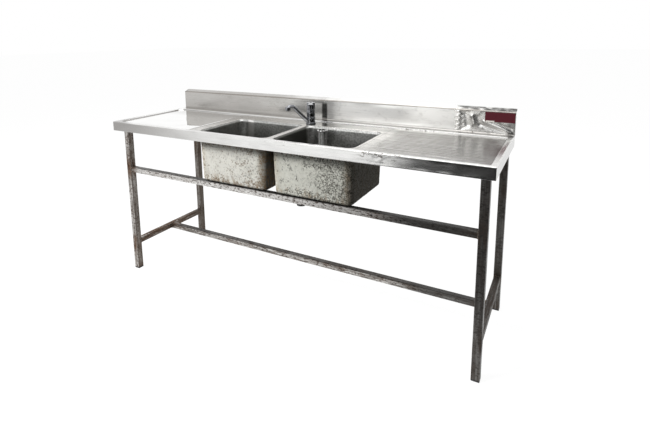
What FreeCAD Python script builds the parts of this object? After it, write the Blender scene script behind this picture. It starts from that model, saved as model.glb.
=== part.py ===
"""A free-standing catering sink unit: stainless worktop with two bowls and a drainer on a tube frame.

The origin is on the floor under the middle of the unit. X runs along the unit to the right, Y to the
wall behind it and Z up. Distances along the unit are taken from its left end, distances in depth from
the front edge of the worktop, and heights from the floor.
"""
import FreeCAD, Part
import math
import os

import Sketcher

doc = FreeCAD.newDocument("SinkUnit")

# ---------------------------------------------------------------------------------------------------
# Driving dimensions, in millimetres and degrees
# ---------------------------------------------------------------------------------------------------

DIMENSIONS = [
    # worktop
    ("unit_length", 2000, "length of the worktop"),
    ("deck_height", 890, "floor to the raised rim of the worktop"),
    ("deck_depth", 568, "front edge of the worktop to the face of the splashback"),
    ("sheet", 1.5, "thickness of all the stainless sheet"),
    ("apron_height", 50, "height of the folded front and end aprons"),
    ("apron_lip", 12, "inward fold under the aprons"),
    ("nosing_radius", 3, "outer bend along the worktop's edges"),
    ("rim_width", 22, "raised rim along the front and the ends"),
    ("rear_rim", 53, "raised band in front of the splashback"),
    ("recess_depth", 6, "drop from the rim to the worktop's floor"),
    ("recess_slope", 3, "run of the sloping step at the rim"),
    ("recess_radius", 45, "rounded inner corners at the left end"),
    ("recess_tight_radius", 10, "tighter inner corners at the drainer end"),
    # splashback
    ("splash_height", 105, "height of the splashback's face above the rim"),
    ("return_depth", 36, "run of the sloping fold on top of the splashback"),
    ("return_rise", 14, "rise of that fold"),
    ("return_hem", 12, "fold down along its rear edge"),
    ("end_fold", 15, "fold at either end of the splashback"),
    # sink plate
    ("plate_start", 530, "left end of the worktop to the brushed sink plate"),
    ("plate_lap", 6, "overlap of the plate on the worktop's floor"),
    ("plate_play", 0.4, "gap between the plate and the foot of the step"),
    ("plate_radius", 9, "corner radius of the plate"),
    # bowls
    ("web_centre", 1014, "left end of the worktop to the middle of the web between the bowls"),
    ("web_width", 30, "web between the two bowl mouths"),
    ("bowl_length", 408, "mouth of a bowl along the unit"),
    ("bowl_width", 360, "mouth of a bowl from front to rear"),
    ("bowl_front", 40, "front edge to the bowl mouths"),
    ("bowl_depth", 255, "plate to the bowl's floor"),
    ("bowl_lean", 2.3, "lean of the bowl walls, degrees"),
    ("bowl_radius", 34, "upright corners of a bowl"),
    ("bowl_floor_radius", 13, "bend from wall to floor, inside"),
    ("bowl_flange", 8, "welded flange round a bowl mouth"),
    ("coat", 2.5, "sprayed coating on the outside of a bowl"),
    # drainer
    ("rib_width", 9, "width of a drainer rib"),
    ("rib_height", 1.2, "height of a drainer rib"),
    ("rib_count", 17, "number of ribs"),
    ("rib_bowl_margin", 49, "right bowl's mouth to the ribs"),
    ("rib_end_margin", 38, "ribs to the right end of the sink plate"),
    ("rib_side_margin", 50, "long sides of the sink plate to the first and last rib"),
    # frame
    ("frame_front", 50, "front edge of the worktop to the front legs"),
    ("frame_depth", 580, "front legs' front to the rear legs' rear"),
    ("leg_inset", 24, "end of the worktop to a leg"),
    ("leg_width", 34, "square leg tube"),
    ("leg_wall", 2, "wall of the leg tube"),
    ("leg_corner", 3, "corner radius of the leg tube"),
    ("rail_width", 30, "square rail tube"),
    ("rail_wall", 1.8, "wall of the rail tube"),
    ("rail_corner", 2.6, "corner radius of the rail tube"),
    ("front_rail_height", 592, "floor to the front rail"),
    ("low_rail_height", 150, "floor to the low rails"),
    ("spare_hole", 7, "old screw holes in the frame"),
    ("spare_left", 730, "left end to the left pair of holes"),
    ("spare_left_gap", 32, "pitch of that pair"),
    ("spare_right", 1580, "left end to the right pair of holes"),
    ("spare_right_gap", 125, "pitch of that pair"),
    ("leg_hole_height", 669, "floor to the old hole in the rear right leg"),
    # feet and heads of the legs
    ("foot_height", 8, "visible collar of a foot insert"),
    ("foot_plug", 22, "plug of a foot insert inside the tube"),
    ("foot_play", 0.2, "gap between plug and tube"),
    ("foot_edge", 1.5, "rounding of the collar"),
    ("head_plate", 3, "plate welded on a leg's head"),
    ("head_reach", 28, "reach of a front leg's plate beside the leg"),
    ("stud_diameter", 6, "studs under the worktop"),
    ("stud_length", 42, "length of a stud"),
    ("stud_play", 0.5, "clearance of a stud in its plate or rail, radial"),
    ("nut_flats", 10, "nut across flats"),
    ("nut_height", 5, "height of a nut"),
    # stiffeners
    ("stiffener_wall", 1.5, "wall of the folded stiffeners"),
    ("edge_stiffener_width", 18, "stiffener behind the front apron"),
    ("edge_stiffener_height", 22, "its height"),
    ("edge_stiffener_play", 1, "its gap to the apron and the step"),
    ("deck_stiffener_width", 40, "stiffeners across the worktop"),
    ("deck_stiffener_height", 20, "their height"),
    ("rear_rail_front", 484, "front edge to the rear top rail"),
    # wastes
    ("waste_reach", 128, "middle of the web to a bowl's waste"),
    ("waste_front", 335, "front edge to the wastes"),
    ("waste_flange", 66, "diameter of a waste flange"),
    ("waste_flange_height", 2, "height of a waste flange"),
    ("throat_diameter", 42, "threaded throat of a waste"),
    ("throat_bore", 38, "bore of the throat"),
    ("throat_length", 34, "length of the throat"),
    ("throat_play", 0.5, "clearance round the throat, radial"),
    ("seal_diameter", 62, "rubber seal under a bowl"),
    ("seal_height", 3, "its height"),
    ("back_nut_diameter", 58, "back nut of a waste"),
    ("back_nut_height", 10, "its height"),
    ("strainer_diameter", 46, "perforated strainer on the left waste"),
    ("strainer_height", 1.5, "its height above the flange"),
    ("strainer_spigot", 3, "its spigot in the throat"),
    ("strainer_play", 0.4, "gap round the spigot, radial"),
    ("strainer_hole", 5, "holes of the strainer"),
    ("strainer_ring", 11, "radius of the ring of holes"),
    ("strainer_holes", 8, "holes in the ring"),
    ("drain_pipe", 40, "plastic drain pipe"),
    ("drain_wall", 2.5, "wall of the plastic pipe"),
    ("drain_drop", 43, "end of a throat down to the middle of the drain's level run"),
    ("drain_bend", 36, "bend of the drain elbow"),
    ("socket_diameter", 50, "sockets and caps on the drain pipe"),
    ("socket_length", 20, "length of a socket"),
    ("tee_arm", 34, "middle of the tee to the end of its arm"),
    ("outlet_drop", 85, "drain's level run down to the open end of the outlet"),
    ("outlet_collar", 14, "height of the collar at the open end"),
    # standpipe
    ("standpipe_diameter", 46, "overflow standpipe"),
    ("standpipe_wall", 1.2, "its wall"),
    ("standpipe_rim", 54, "rolled rim on top"),
    ("standpipe_drop", 2, "plate down to the rim of the standpipe"),
    ("standpipe_neck", 28, "neck that the seal grips"),
    ("plug_top", 37.2, "seal at its lip"),
    ("plug_bottom", 35, "seal at its foot"),
    ("plug_depth", 16, "seal below its lip"),
    ("plug_lip", 46, "lip that rests on the waste flange"),
    ("plug_lip_height", 3, "height of the lip"),
    # tap
    ("tap_front", 447, "front edge to the tap"),
    ("tap_hole", 35, "hole in the sink plate"),
    ("tap_gasket", 2, "rubber under the tap"),
    ("tap_foot_diameter", 52, "foot of the tap"),
    ("tap_foot_height", 6, "height of the foot"),
    ("tap_neck", 40, "neck that the spout turns on"),
    ("tap_body_diameter", 45, "upper body of the tap"),
    ("tap_body_height", 76, "plate to the top of the body"),
    ("tap_shank", 32, "threaded shank under the plate"),
    ("tap_shank_length", 42, "its length below the plate"),
    ("tap_bore", 24, "bore of the shank"),
    ("turn_play", 0.05, "running fit of the swivel, radial"),
    ("swivel_gap", 0.3, "gap above and below the swivel ring"),
    ("swivel_diameter", 48, "swivel ring of the spout"),
    ("swivel_height", 28, "height of the swivel ring"),
    ("spout_diameter", 22, "spout tube"),
    ("spout_bore", 16, "bore of the spout tube"),
    ("spout_reach", 165, "tap to nozzle"),
    ("spout_rise", 86, "middle of the swivel ring to the top run of the spout"),
    ("spout_foot", 33, "tap to the foot of the rising run"),
    ("spout_crest", 132, "tap to the corner of the top run"),
    ("spout_bend", 14, "bends of the spout"),
    ("nozzle_diameter", 27, "nozzle"),
    ("nozzle_height", 20, "height of the nozzle"),
    ("nozzle_drop", 18, "top run to the open end of the nozzle"),
    ("aerator_diameter", 22, "aerator in the nozzle"),
    ("aerator_height", 9, "height of the aerator"),
    ("aerator_show", 2, "part of it below the nozzle"),
    ("spout_turn", 255, "rest direction of the spout, degrees from X"),
    ("cartridge_diameter", 35, "ceramic cartridge"),
    ("cartridge_height", 36, "its height"),
    ("cartridge_play", 0.3, "gap round the cartridge"),
    ("pivot_height", 86, "plate to the lever's pivot"),
    ("dome_radius", 17, "ball-shaped cover under the lever"),
    ("dome_hole", 16, "hole in the cover for the spindle"),
    ("dome_gap", 1, "gap between the cover and the pin"),
    ("spindle_diameter", 11, "spindle"),
    ("pin_diameter", 4, "lever pin"),
    ("pin_length", 41, "length of the pin"),
    ("lever_cavity", 18, "inner radius of the lever's hub"),
    ("hub_diameter", 45, "hub of the lever"),
    ("hub_height", 36, "height of the hub"),
    ("hub_gap", 1.5, "gap between body and hub"),
    ("lever_lift", 22, "lift of the lever, degrees"),
    ("lever_length", 78, "tap to the end of the lever"),
    ("lever_root", 17, "width of the lever at the hub"),
    ("lever_tip", 31, "width of the lever at its end"),
    ("lever_thickness", 7, "thickness of the lever"),
    ("lever_turn", 298, "rest direction of the lever, degrees from X"),
    ("index_diameter", 9, "index disc on the hub"),
    ("index_height", 1.5, "its height"),
    ("clamp_diameter", 50, "clamp washer under the plate"),
    ("clamp_height", 3, "its height"),
    ("tap_nut_flats", 41, "nut under the plate, across flats"),
    ("tap_nut_height", 8, "its height"),
    ("inlet_diameter", 10, "copper inlet"),
    ("inlet_gap", 13, "inlet to inlet"),
    ("inlet_length", 110, "inlet below the shank"),
    ("inlet_grip", 30, "inlet inside the shank"),
    ("inlet_wall", 1, "wall of an inlet"),
    # labels
    ("label_length", 129, "plain label on the splashback"),
    ("label_height", 45, "its height"),
    ("label_end", 2, "right end of the worktop to the label"),
    ("label_top", 4, "top of the splashback's face to the label"),
    ("label_thickness", 0.8, "its thickness"),
    ("sticker_length", 38, "plain sticker over the label's corner"),
    ("sticker_height", 8, "its height"),
    ("sticker_inset", 3, "label's left end to the sticker"),
    ("sticker_drop", 3, "part of the sticker below the label"),
    ("sticker_thickness", 0.4, "its thickness"),
]


class Size:
    """A length that carries its number and the sheet formula it comes from."""

    def __init__(self, value, text):
        self.value = value
        self.text = text

    def joined(self, other, sign, value):
        return Size(value, "(%s %s %s)" % (self.text, sign, text_of(other)))

    def __add__(self, other):
        return self.joined(other, "+", self.value + number(other))

    def __radd__(self, other):
        return self + other

    def __sub__(self, other):
        return self.joined(other, "-", self.value - number(other))

    def __rsub__(self, other):
        return -self + other

    def __mul__(self, other):
        return self.joined(other, "*", self.value * number(other))

    def __rmul__(self, other):
        return self * other

    def __truediv__(self, other):
        return self.joined(other, "/", self.value / number(other))

    def __neg__(self):
        return Size(-self.value, "(-1 * %s)" % self.text)


def number(size):
    return size.value if isinstance(size, Size) else size


def text_of(size):
    return size.text if isinstance(size, Size) else repr(size)


def write_sheet():
    """Put every dimension in the sheet and give it back as a Size under its own name."""
    sheet = doc.addObject("Spreadsheet::Sheet", "Sizes")
    named = {}
    for row, (alias, value, meaning) in enumerate(DIMENSIONS, start=1):
        sheet.set("A%d" % row, meaning)
        sheet.set("B%d" % row, str(value))
        sheet.setAlias("B%d" % row, alias)
        named[alias] = Size(value, "Sizes." + alias)
    doc.recompute()
    return named


SIZES = write_sheet()


def dim(alias):
    return SIZES[alias]


# ---------------------------------------------------------------------------------------------------
# Small tools for bodies, sketches and features
# ---------------------------------------------------------------------------------------------------

def bind(target, path, size):
    """Tie one property of an object to the sheet."""
    if isinstance(size, Size):
        target.setExpression(path, size.text)
    else:
        setattr(target, path, size)


def place(target, x=0, y=0, z=0, turn=None):
    """Give an object its place and, where asked, a turn about the upright axis."""
    if turn is not None:
        upright = FreeCAD.Rotation(FreeCAD.Vector(0, 0, 1), number(turn))
        target.Placement = FreeCAD.Placement(FreeCAD.Vector(0, 0, 0), upright)
        target.setExpression("Placement.Rotation.Angle", text_of(turn))
    for axis, size in (("x", x), ("y", y), ("z", z)):
        if isinstance(size, Size):
            target.setExpression("Placement.Base." + axis, size.text)


def new_body(label, x=0, y=0, z=0, turn=None):
    body = doc.addObject("PartDesign::Body", label)
    body.Label = label
    place(body, x, y, z, turn)
    return body


def origin_item(body, role):
    return next(item for item in body.Origin.OriginFeatures if item.Role == role)


def new_sketch(body, name, plane="XY_Plane", lift=None):
    """A sketch on one of the body's own origin planes, lifted along that plane's normal."""
    sketch = body.newObject("Sketcher::SketchObject", name)
    sketch.AttachmentSupport = [(origin_item(body, plane), "")]
    sketch.MapMode = "FlatFace"
    if lift is not None:
        sketch.setExpression("AttachmentOffset.Base.z", text_of(lift))
    return sketch


def vector(point):
    return FreeCAD.Vector(number(point[0]), number(point[1]), 0)


def measure(sketch, kind, references, size):
    """Add a distance, radius, diameter or angle that follows the sheet."""
    value = number(size)
    if kind == "Angle":
        value = math.radians(value)
    index = sketch.addConstraint(Sketcher.Constraint(kind, *references, value))
    if isinstance(size, Size):
        name = "%s%d" % (kind.lower(), index)
        sketch.renameConstraint(index, name)
        sketch.setExpression("Constraints." + name, size.text)


def hold(sketch, geometry, end, point):
    """Hold one end of a line, or a centre, at its two distances from the sketch's origin."""
    for kind, axis, size in (("DistanceX", -2, point[0]), ("DistanceY", -1, point[1])):
        if isinstance(size, Size):
            measure(sketch, kind, (-1, 1, geometry, end), size)
        elif size == 0:
            sketch.addConstraint(Sketcher.Constraint("PointOnObject", geometry, end, axis))
        else:
            measure(sketch, kind, (-1, 1, geometry, end), size)


def polygon(sketch, points):
    """A closed outline of straight lines through the points."""
    first = sketch.GeometryCount
    count = len(points)
    for k in range(count):
        sketch.addGeometry(Part.LineSegment(vector(points[k]), vector(points[(k + 1) % count])))
    for k in range(count):
        sketch.addConstraint(Sketcher.Constraint("Coincident", first + k, 2, first + (k + 1) % count, 1))
    for k in range(count):
        hold(sketch, first + k, 1, points[k])


def rectangle(sketch, left, right, front, rear):
    polygon(sketch, [(left, front), (right, front), (right, rear), (left, rear)])


def rounded_rectangle(sketch, left, right, front, rear, radii):
    """A rectangle whose four corners are quarter arcs, given from the left front one round."""
    if not isinstance(radii, (list, tuple)):
        radii = [radii] * 4
    corners = [(left, front, 1, 1), (right, front, -1, 1), (right, rear, -1, -1), (left, rear, 1, -1)]
    ends = []
    for (x, y, to_x, to_y), radius in zip(corners, radii):
        along = (x + radius * to_x, y)
        up = (x, y + radius * to_y)
        centre = (x + radius * to_x, y + radius * to_y)
        ends.append((up, along, centre) if to_x == to_y else (along, up, centre))
    first = sketch.GeometryCount
    for k in range(4):
        start, finish, centre = ends[k]
        arc_start = math.pi + k * math.pi / 2
        circle = Part.Circle(vector(centre), FreeCAD.Vector(0, 0, 1), number(radii[k]))
        sketch.addGeometry(Part.ArcOfCircle(circle, arc_start, arc_start + math.pi / 2))
        following = ends[(k + 1) % 4][0]
        sketch.addGeometry(Part.LineSegment(vector(finish), vector(following)))
    for k in range(4):
        arc, line = first + 2 * k, first + 2 * k + 1
        next_arc = first + (2 * k + 2) % 8
        sketch.addConstraint(Sketcher.Constraint("Coincident", arc, 2, line, 1))
        sketch.addConstraint(Sketcher.Constraint("Coincident", line, 2, next_arc, 1))
        hold(sketch, line, 1, ends[k][1])
        hold(sketch, line, 2, ends[(k + 1) % 4][0])
        measure(sketch, "Radius", (arc,), radii[k])


def circle(sketch, x, y, diameter):
    index = sketch.addGeometry(Part.Circle(vector((x, y)), FreeCAD.Vector(0, 0, 1), number(diameter) / 2))
    hold(sketch, index, 3, (x, y))
    measure(sketch, "Diameter", (index,), diameter)


def bent_path(sketch, corners, radius):
    """An open path of straight runs whose corners are rounded by tangent arcs.

    Each run lies on a construction line between two corners, so a corner is where the sizes put it.
    """
    points = [vector(corner) for corner in corners]
    last = len(points) - 2
    guides = []
    for k in range(last + 1):
        guides.append(sketch.addGeometry(Part.LineSegment(points[k], points[k + 1]), True))
        hold(sketch, guides[k], 1, corners[k])
        if k:
            sketch.addConstraint(Sketcher.Constraint("Coincident", guides[k - 1], 2, guides[k], 1))
    hold(sketch, guides[last], 2, corners[-1])
    runs = []
    for k in range(last + 1):
        along = (points[k + 1] - points[k]).normalize()
        start = points[k] if k == 0 else points[k] + along * setback(points, k, radius)
        finish = points[k + 1] if k == last else points[k + 1] - along * setback(points, k + 1, radius)
        runs.append(sketch.addGeometry(Part.LineSegment(start, finish)))
        if k == 0:
            sketch.addConstraint(Sketcher.Constraint("Coincident", runs[k], 1, guides[k], 1))
        else:
            sketch.addConstraint(Sketcher.Constraint("PointOnObject", runs[k], 1, guides[k]))
        if k == last:
            sketch.addConstraint(Sketcher.Constraint("Coincident", runs[k], 2, guides[k], 2))
        else:
            sketch.addConstraint(Sketcher.Constraint("PointOnObject", runs[k], 2, guides[k]))
    for k in range(1, last + 1):
        join_with_arc(sketch, points, k, runs[k - 1], runs[k], radius)


def turn_at(points, k):
    """The angle by which the path turns at corner k, and whether it turns left."""
    before = (points[k] - points[k - 1]).normalize()
    after = (points[k + 1] - points[k]).normalize()
    return before.getAngle(after), before.cross(after).z > 0


def setback(points, k, radius):
    """How far before its corner an arc starts: its radius times the tangent of half the turn."""
    return number(radius) * math.tan(turn_at(points, k)[0] / 2)


def join_with_arc(sketch, points, k, run_in, run_out, radius):
    turn, to_left = turn_at(points, k)
    before = (points[k] - points[k - 1]).normalize()
    side = FreeCAD.Vector(-before.y, before.x, 0) * (1 if to_left else -1)
    start = points[k] - before * setback(points, k, radius)
    centre = start + side * number(radius)
    spoke = start - centre
    begin = math.atan2(spoke.y, spoke.x)
    end = begin + turn if to_left else begin - turn
    low, high = (begin, end) if to_left else (end, begin)
    base = Part.Circle(centre, FreeCAD.Vector(0, 0, 1), number(radius))
    arc = sketch.addGeometry(Part.ArcOfCircle(base, low, high))
    first_end, last_end = (1, 2) if to_left else (2, 1)
    sketch.addConstraint(Sketcher.Constraint("Tangent", run_in, 2, arc, first_end))
    sketch.addConstraint(Sketcher.Constraint("Tangent", run_out, 1, arc, last_end))
    measure(sketch, "Radius", (arc,), radius)


def pad(body, sketch, length, down=False, middle=False, lean=None):
    feature = body.newObject("PartDesign::Pad", sketch.Name + "_pad")
    feature.Profile = sketch
    bind(feature, "Length", length)
    feature.Reversed = down
    if middle:
        feature.SideType = "Symmetric"
    if lean is not None:
        bind(feature, "TaperAngle", lean)
    return feature


def pocket(body, sketch, depth, up=False, lean=None):
    feature = body.newObject("PartDesign::Pocket", sketch.Name + "_cut")
    feature.Profile = sketch
    bind(feature, "Length", depth)
    feature.Reversed = up
    if lean is not None:
        bind(feature, "TaperAngle", lean)
    return feature


def revolve(body, sketch):
    """Turn a profile drawn on the XZ plane once round the body's upright axis."""
    feature = body.newObject("PartDesign::Revolution", sketch.Name + "_turned")
    feature.Profile = sketch
    feature.ReferenceAxis = (sketch, ["V_Axis"])
    feature.Angle = 360
    return feature


def turned(label, points, x, y, z, turn=None):
    """A turned piece: a closed profile of radius and height."""
    body = new_body(label, x, y, z, turn)
    sketch = new_sketch(body, label + "_profile", "XZ_Plane")
    polygon(sketch, points)
    revolve(body, sketch)
    return body


def ring(label, outer, inner, height, x, y, z):
    """A flat ring or sleeve of two diameters."""
    return turned(label, [(inner / 2, 0), (outer / 2, 0), (outer / 2, height), (inner / 2, height)], x, y, z)


def sweep(body, name, section, path):
    feature = body.newObject("PartDesign::AdditivePipe", name)
    feature.Profile = section
    feature.Spine = path
    return feature


def hollow(body, name, section, path):
    feature = body.newObject("PartDesign::SubtractivePipe", name)
    feature.Profile = section
    feature.Spine = path
    return feature


def edges_where(shape, wanted):
    """Names of the edges whose end points and middle satisfy a test."""
    names = []
    for index, edge in enumerate(shape.Edges, start=1):
        middle = edge.valueAt((edge.FirstParameter + edge.LastParameter) / 2)
        ends = [vertex.Point for vertex in edge.Vertexes]
        if wanted(edge, middle, ends):
            names.append("Edge%d" % index)
    return names


def fillet(body, base, radius, wanted):
    doc.recompute()
    feature = body.newObject("PartDesign::Fillet", body.Name + "_fillet%d" % len(body.Group))
    feature.Base = (base, edges_where(base.Shape, wanted))
    bind(feature, "Radius", radius)
    return feature


def near(value, size):
    return abs(value - number(size)) < 0.01


# ---------------------------------------------------------------------------------------------------
# Shared places
# ---------------------------------------------------------------------------------------------------

LEFT = dim("unit_length") * -0.5
RIGHT = dim("unit_length") / 2
FRONT = (dim("frame_front") + dim("frame_depth")) * -0.5
SPLASH_FACE = FRONT + dim("deck_depth")
REAR = FRONT + dim("frame_front") + dim("frame_depth")
FLOOR_TOP = dim("deck_height") - dim("recess_depth")
FLOOR_UNDER = FLOOR_TOP - dim("sheet")
PLATE_TOP = FLOOR_TOP + dim("sheet")

RECESS_LEFT = LEFT + dim("rim_width")
RECESS_RIGHT = RIGHT - dim("rim_width")
RECESS_FRONT = FRONT + dim("rim_width")
RECESS_REAR = SPLASH_FACE - dim("rear_rim")
STEP_FOOT = dim("recess_slope") + dim("plate_play")
PLATE_LEFT = LEFT + dim("plate_start")
PLATE_RIGHT = RECESS_RIGHT - STEP_FOOT
PLATE_FRONT = RECESS_FRONT + STEP_FOOT
PLATE_REAR = RECESS_REAR - STEP_FOOT

SERVICE_X = LEFT + dim("web_centre")
BOWL_OFFSET = (dim("web_width") + dim("bowl_length")) / 2
BOWL_CENTRE = dim("bowl_length") * 0
BOWL_FRONT = FRONT + dim("bowl_front")
BOWL_FLOOR = PLATE_TOP - dim("bowl_depth")
WASTE_Y = FRONT + dim("waste_front")
TAP_Y = FRONT + dim("tap_front")

RIBS_LEFT = SERVICE_X + dim("web_width") / 2 + dim("bowl_length") + dim("rib_bowl_margin")
RIBS_RIGHT = PLATE_RIGHT - dim("rib_end_margin")

LEG_LEFT = LEFT + dim("leg_inset")
LEG_RIGHT = RIGHT - dim("leg_inset") - dim("leg_width")
LEG_FRONT = FRONT + dim("frame_front")
LEG_REAR = REAR - dim("leg_width")
TUBE_OFFSET = (dim("leg_width") - dim("rail_width")) / 2

SIDES = (("left", -1), ("right", 1))


# ---------------------------------------------------------------------------------------------------
# Worktop and sink plate
# ---------------------------------------------------------------------------------------------------

def worktop_skirt(body, name, inner, bottom, height):
    """A U of sheet along the front and both ends, from the outline inwards."""
    sketch = new_sketch(body, name, lift=bottom)
    polygon(sketch, [(LEFT, FRONT), (RIGHT, FRONT), (RIGHT, SPLASH_FACE), (RIGHT - inner, SPLASH_FACE),
                     (RIGHT - inner, FRONT + inner), (LEFT + inner, FRONT + inner),
                     (LEFT + inner, SPLASH_FACE), (LEFT, SPLASH_FACE)])
    return pad(body, sketch, height)


def worktop():
    """The folded sheet: raised rim, sunk floor, aprons, and the splashback with its sloping return."""
    body = new_body("worktop")
    sheet = dim("sheet")
    rear = SPLASH_FACE + sheet

    slab = new_sketch(body, "deck_outline", lift=FLOOR_UNDER)
    rectangle(slab, LEFT, RIGHT, FRONT, rear)
    pad(body, slab, dim("recess_depth") + sheet)

    apron_bottom = dim("deck_height") - dim("apron_height")
    worktop_skirt(body, "aprons", sheet, apron_bottom, dim("apron_height") - sheet)
    skirt = worktop_skirt(body, "apron_lips", dim("apron_lip"), apron_bottom, sheet)

    def is_outer_bend(edge, middle, ends):
        on_outline = near(middle.x, LEFT) or near(middle.x, RIGHT) or near(middle.y, FRONT)
        level = all(near(end.z, dim("deck_height")) for end in ends)
        upright = near(abs(middle.x), RIGHT) and near(middle.y, FRONT) and not near(ends[0].z, ends[1].z)
        return (on_outline and level) or upright

    fillet(body, skirt, dim("nosing_radius"), is_outer_bend)

    recess = new_sketch(body, "recess", lift=dim("deck_height"))
    tight, wide = dim("recess_tight_radius"), dim("recess_radius")
    rounded_rectangle(recess, RECESS_LEFT, RECESS_RIGHT, RECESS_FRONT, RECESS_REAR,
                      [wide, tight, tight, wide])
    step_lean = math.degrees(math.atan2(number(dim("recess_slope")), number(dim("recess_depth"))))
    pocket(body, recess, dim("recess_depth"), lean=Size(step_lean, "atan(%s / %s)" % (
        text_of(dim("recess_slope")), text_of(dim("recess_depth")))))

    under = new_sketch(body, "rim_underside", lift=FLOOR_UNDER)
    rectangle(under, LEFT + sheet, RIGHT - sheet, FRONT + sheet, SPLASH_FACE)
    rectangle(under, RECESS_LEFT - sheet, RECESS_RIGHT + sheet, RECESS_FRONT - sheet, RECESS_REAR + sheet)
    pocket(body, under, dim("recess_depth"), up=True)

    opening = new_sketch(body, "plate_opening", lift=FLOOR_TOP)
    lap = dim("plate_lap")
    rounded_rectangle(opening, PLATE_LEFT + lap, PLATE_RIGHT - lap, PLATE_FRONT + lap, PLATE_REAR - lap,
                      dim("plate_radius") / 2)
    pocket(body, opening, sheet)

    splashback(body)
    return body


def splashback(body):
    """Upright face, return that slopes up and back, and hem, as one folded strip the whole length."""
    sheet = dim("sheet")
    foot = dim("deck_height") - sheet
    head = dim("deck_height") + dim("splash_height")
    crest = head + dim("return_rise")
    back = SPLASH_FACE + dim("return_depth")
    fold = new_sketch(body, "splash_fold", "YZ_Plane", lift=LEFT)
    polygon(fold, [(SPLASH_FACE, foot), (SPLASH_FACE + sheet, foot), (SPLASH_FACE + sheet, head - sheet),
                   (back - sheet, crest - sheet * 2), (back - sheet, crest - dim("return_hem")),
                   (back, crest - dim("return_hem")), (back, crest), (SPLASH_FACE, head)])
    pad(body, fold, dim("unit_length"))
    for side, lift, outwards in (("left", LEFT, False), ("right", RIGHT, True)):
        end = new_sketch(body, "splash_end_" + side, "YZ_Plane", lift=lift)
        polygon(end, [(SPLASH_FACE + sheet / 2, foot), (SPLASH_FACE + dim("end_fold"), foot),
                      (SPLASH_FACE + dim("end_fold"), head - sheet), (SPLASH_FACE + sheet / 2, head - sheet)])
        pad(body, end, sheet, down=outwards)


def bowl_mouth(sketch, centre_x, margin, radius):
    """A bowl's mouth grown by a margin on all sides."""
    half_length = dim("bowl_length") / 2 + margin
    rounded_rectangle(sketch, centre_x - half_length, centre_x + half_length,
                      BOWL_FRONT - margin, BOWL_FRONT + dim("bowl_width") + margin, radius)


def sink_plate():
    """The brushed plate in the recess, with both bowl mouths, the tap hole and the drainer's ribs."""
    body = new_body("sink_plate")
    sheet_sketch = new_sketch(body, "plate_outline", lift=FLOOR_TOP)
    rounded_rectangle(sheet_sketch, PLATE_LEFT, PLATE_RIGHT, PLATE_FRONT, PLATE_REAR, dim("plate_radius"))
    pad(body, sheet_sketch, dim("sheet"))

    holes = new_sketch(body, "plate_holes", lift=PLATE_TOP)
    for side, sign in SIDES:
        bowl_mouth(holes, SERVICE_X + BOWL_OFFSET * sign, BOWL_CENTRE, dim("bowl_radius"))
    circle(holes, SERVICE_X, TAP_Y, dim("tap_hole"))
    pocket(body, holes, dim("sheet"))

    rib = new_sketch(body, "drainer_rib", "YZ_Plane", lift=RIBS_LEFT)
    first_rib = PLATE_FRONT + dim("rib_side_margin")
    ribs_span = PLATE_REAR - PLATE_FRONT - dim("rib_side_margin") * 2
    half = dim("rib_width") / 2
    crown = dim("rib_width") / 6
    root = PLATE_TOP - dim("sheet") / 2
    polygon(rib, [(first_rib - half, root), (first_rib + half, root),
                  (first_rib + half, PLATE_TOP), (first_rib + crown, PLATE_TOP + dim("rib_height")),
                  (first_rib - crown, PLATE_TOP + dim("rib_height")), (first_rib - half, PLATE_TOP)])
    first = pad(body, rib, RIBS_RIGHT - RIBS_LEFT)
    pattern = body.newObject("PartDesign::LinearPattern", "drainer_ribs")
    pattern.Originals = [first]
    pattern.Direction = (origin_item(body, "Y_Axis"), [""])
    pattern.Mode = "Extent"
    bind(pattern, "Length", ribs_span)
    bind(pattern, "Occurrences", dim("rib_count"))
    body.Tip = pattern
    return body


# ---------------------------------------------------------------------------------------------------
# Bowls
# ---------------------------------------------------------------------------------------------------

def leaning_box(name, sign, margin, depth):
    """A solid the shape of a bowl grown by a margin: leaning walls and a rounded lower edge."""
    body = new_body(name, x=SERVICE_X + BOWL_OFFSET * sign)
    mouth = new_sketch(body, name + "_mouth", lift=FLOOR_TOP)
    bowl_mouth(mouth, BOWL_CENTRE, margin, dim("bowl_radius") + margin)
    walls = pad(body, mouth, depth, down=True, lean=-dim("bowl_lean"))

    def is_floor_edge(edge, middle, ends):
        return all(near(end.z, FLOOR_TOP - depth) for end in ends)

    fillet(body, walls, dim("bowl_floor_radius") + margin, is_floor_edge)
    return body


def waste_hole(body, name, sign, floor, depth):
    """The hole for the waste, through the floor of a bowl from below."""
    sketch = new_sketch(body, name, lift=floor)
    from_centre = dim("waste_reach") - BOWL_OFFSET
    circle(sketch, from_centre * sign, WASTE_Y, dim("throat_diameter") + dim("throat_play") * 2)
    pocket(body, sketch, depth, up=True)


def minus(label, base, tool):
    result = doc.addObject("Part::Cut", label)
    result.Label = label
    result.Base = base
    result.Tool = tool
    return result


def bowl(side, sign):
    """A pressed bowl: flange, leaning walls, rounded floor and waste hole."""
    sheet = dim("sheet")
    outside = leaning_box(side + "_bowl_outside", sign, sheet, dim("bowl_depth"))
    flange = new_sketch(outside, side + "_bowl_flange", lift=FLOOR_UNDER)
    bowl_mouth(flange, BOWL_CENTRE, dim("bowl_flange"), dim("bowl_radius") + dim("bowl_flange"))
    pad(outside, flange, sheet)
    waste_hole(outside, side + "_bowl_waste", sign, BOWL_FLOOR - sheet, sheet * 2)
    inside = leaning_box(side + "_bowl_inside", sign, BOWL_CENTRE, dim("bowl_depth") - sheet)
    minus(side + "_bowl", outside, inside)


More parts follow.
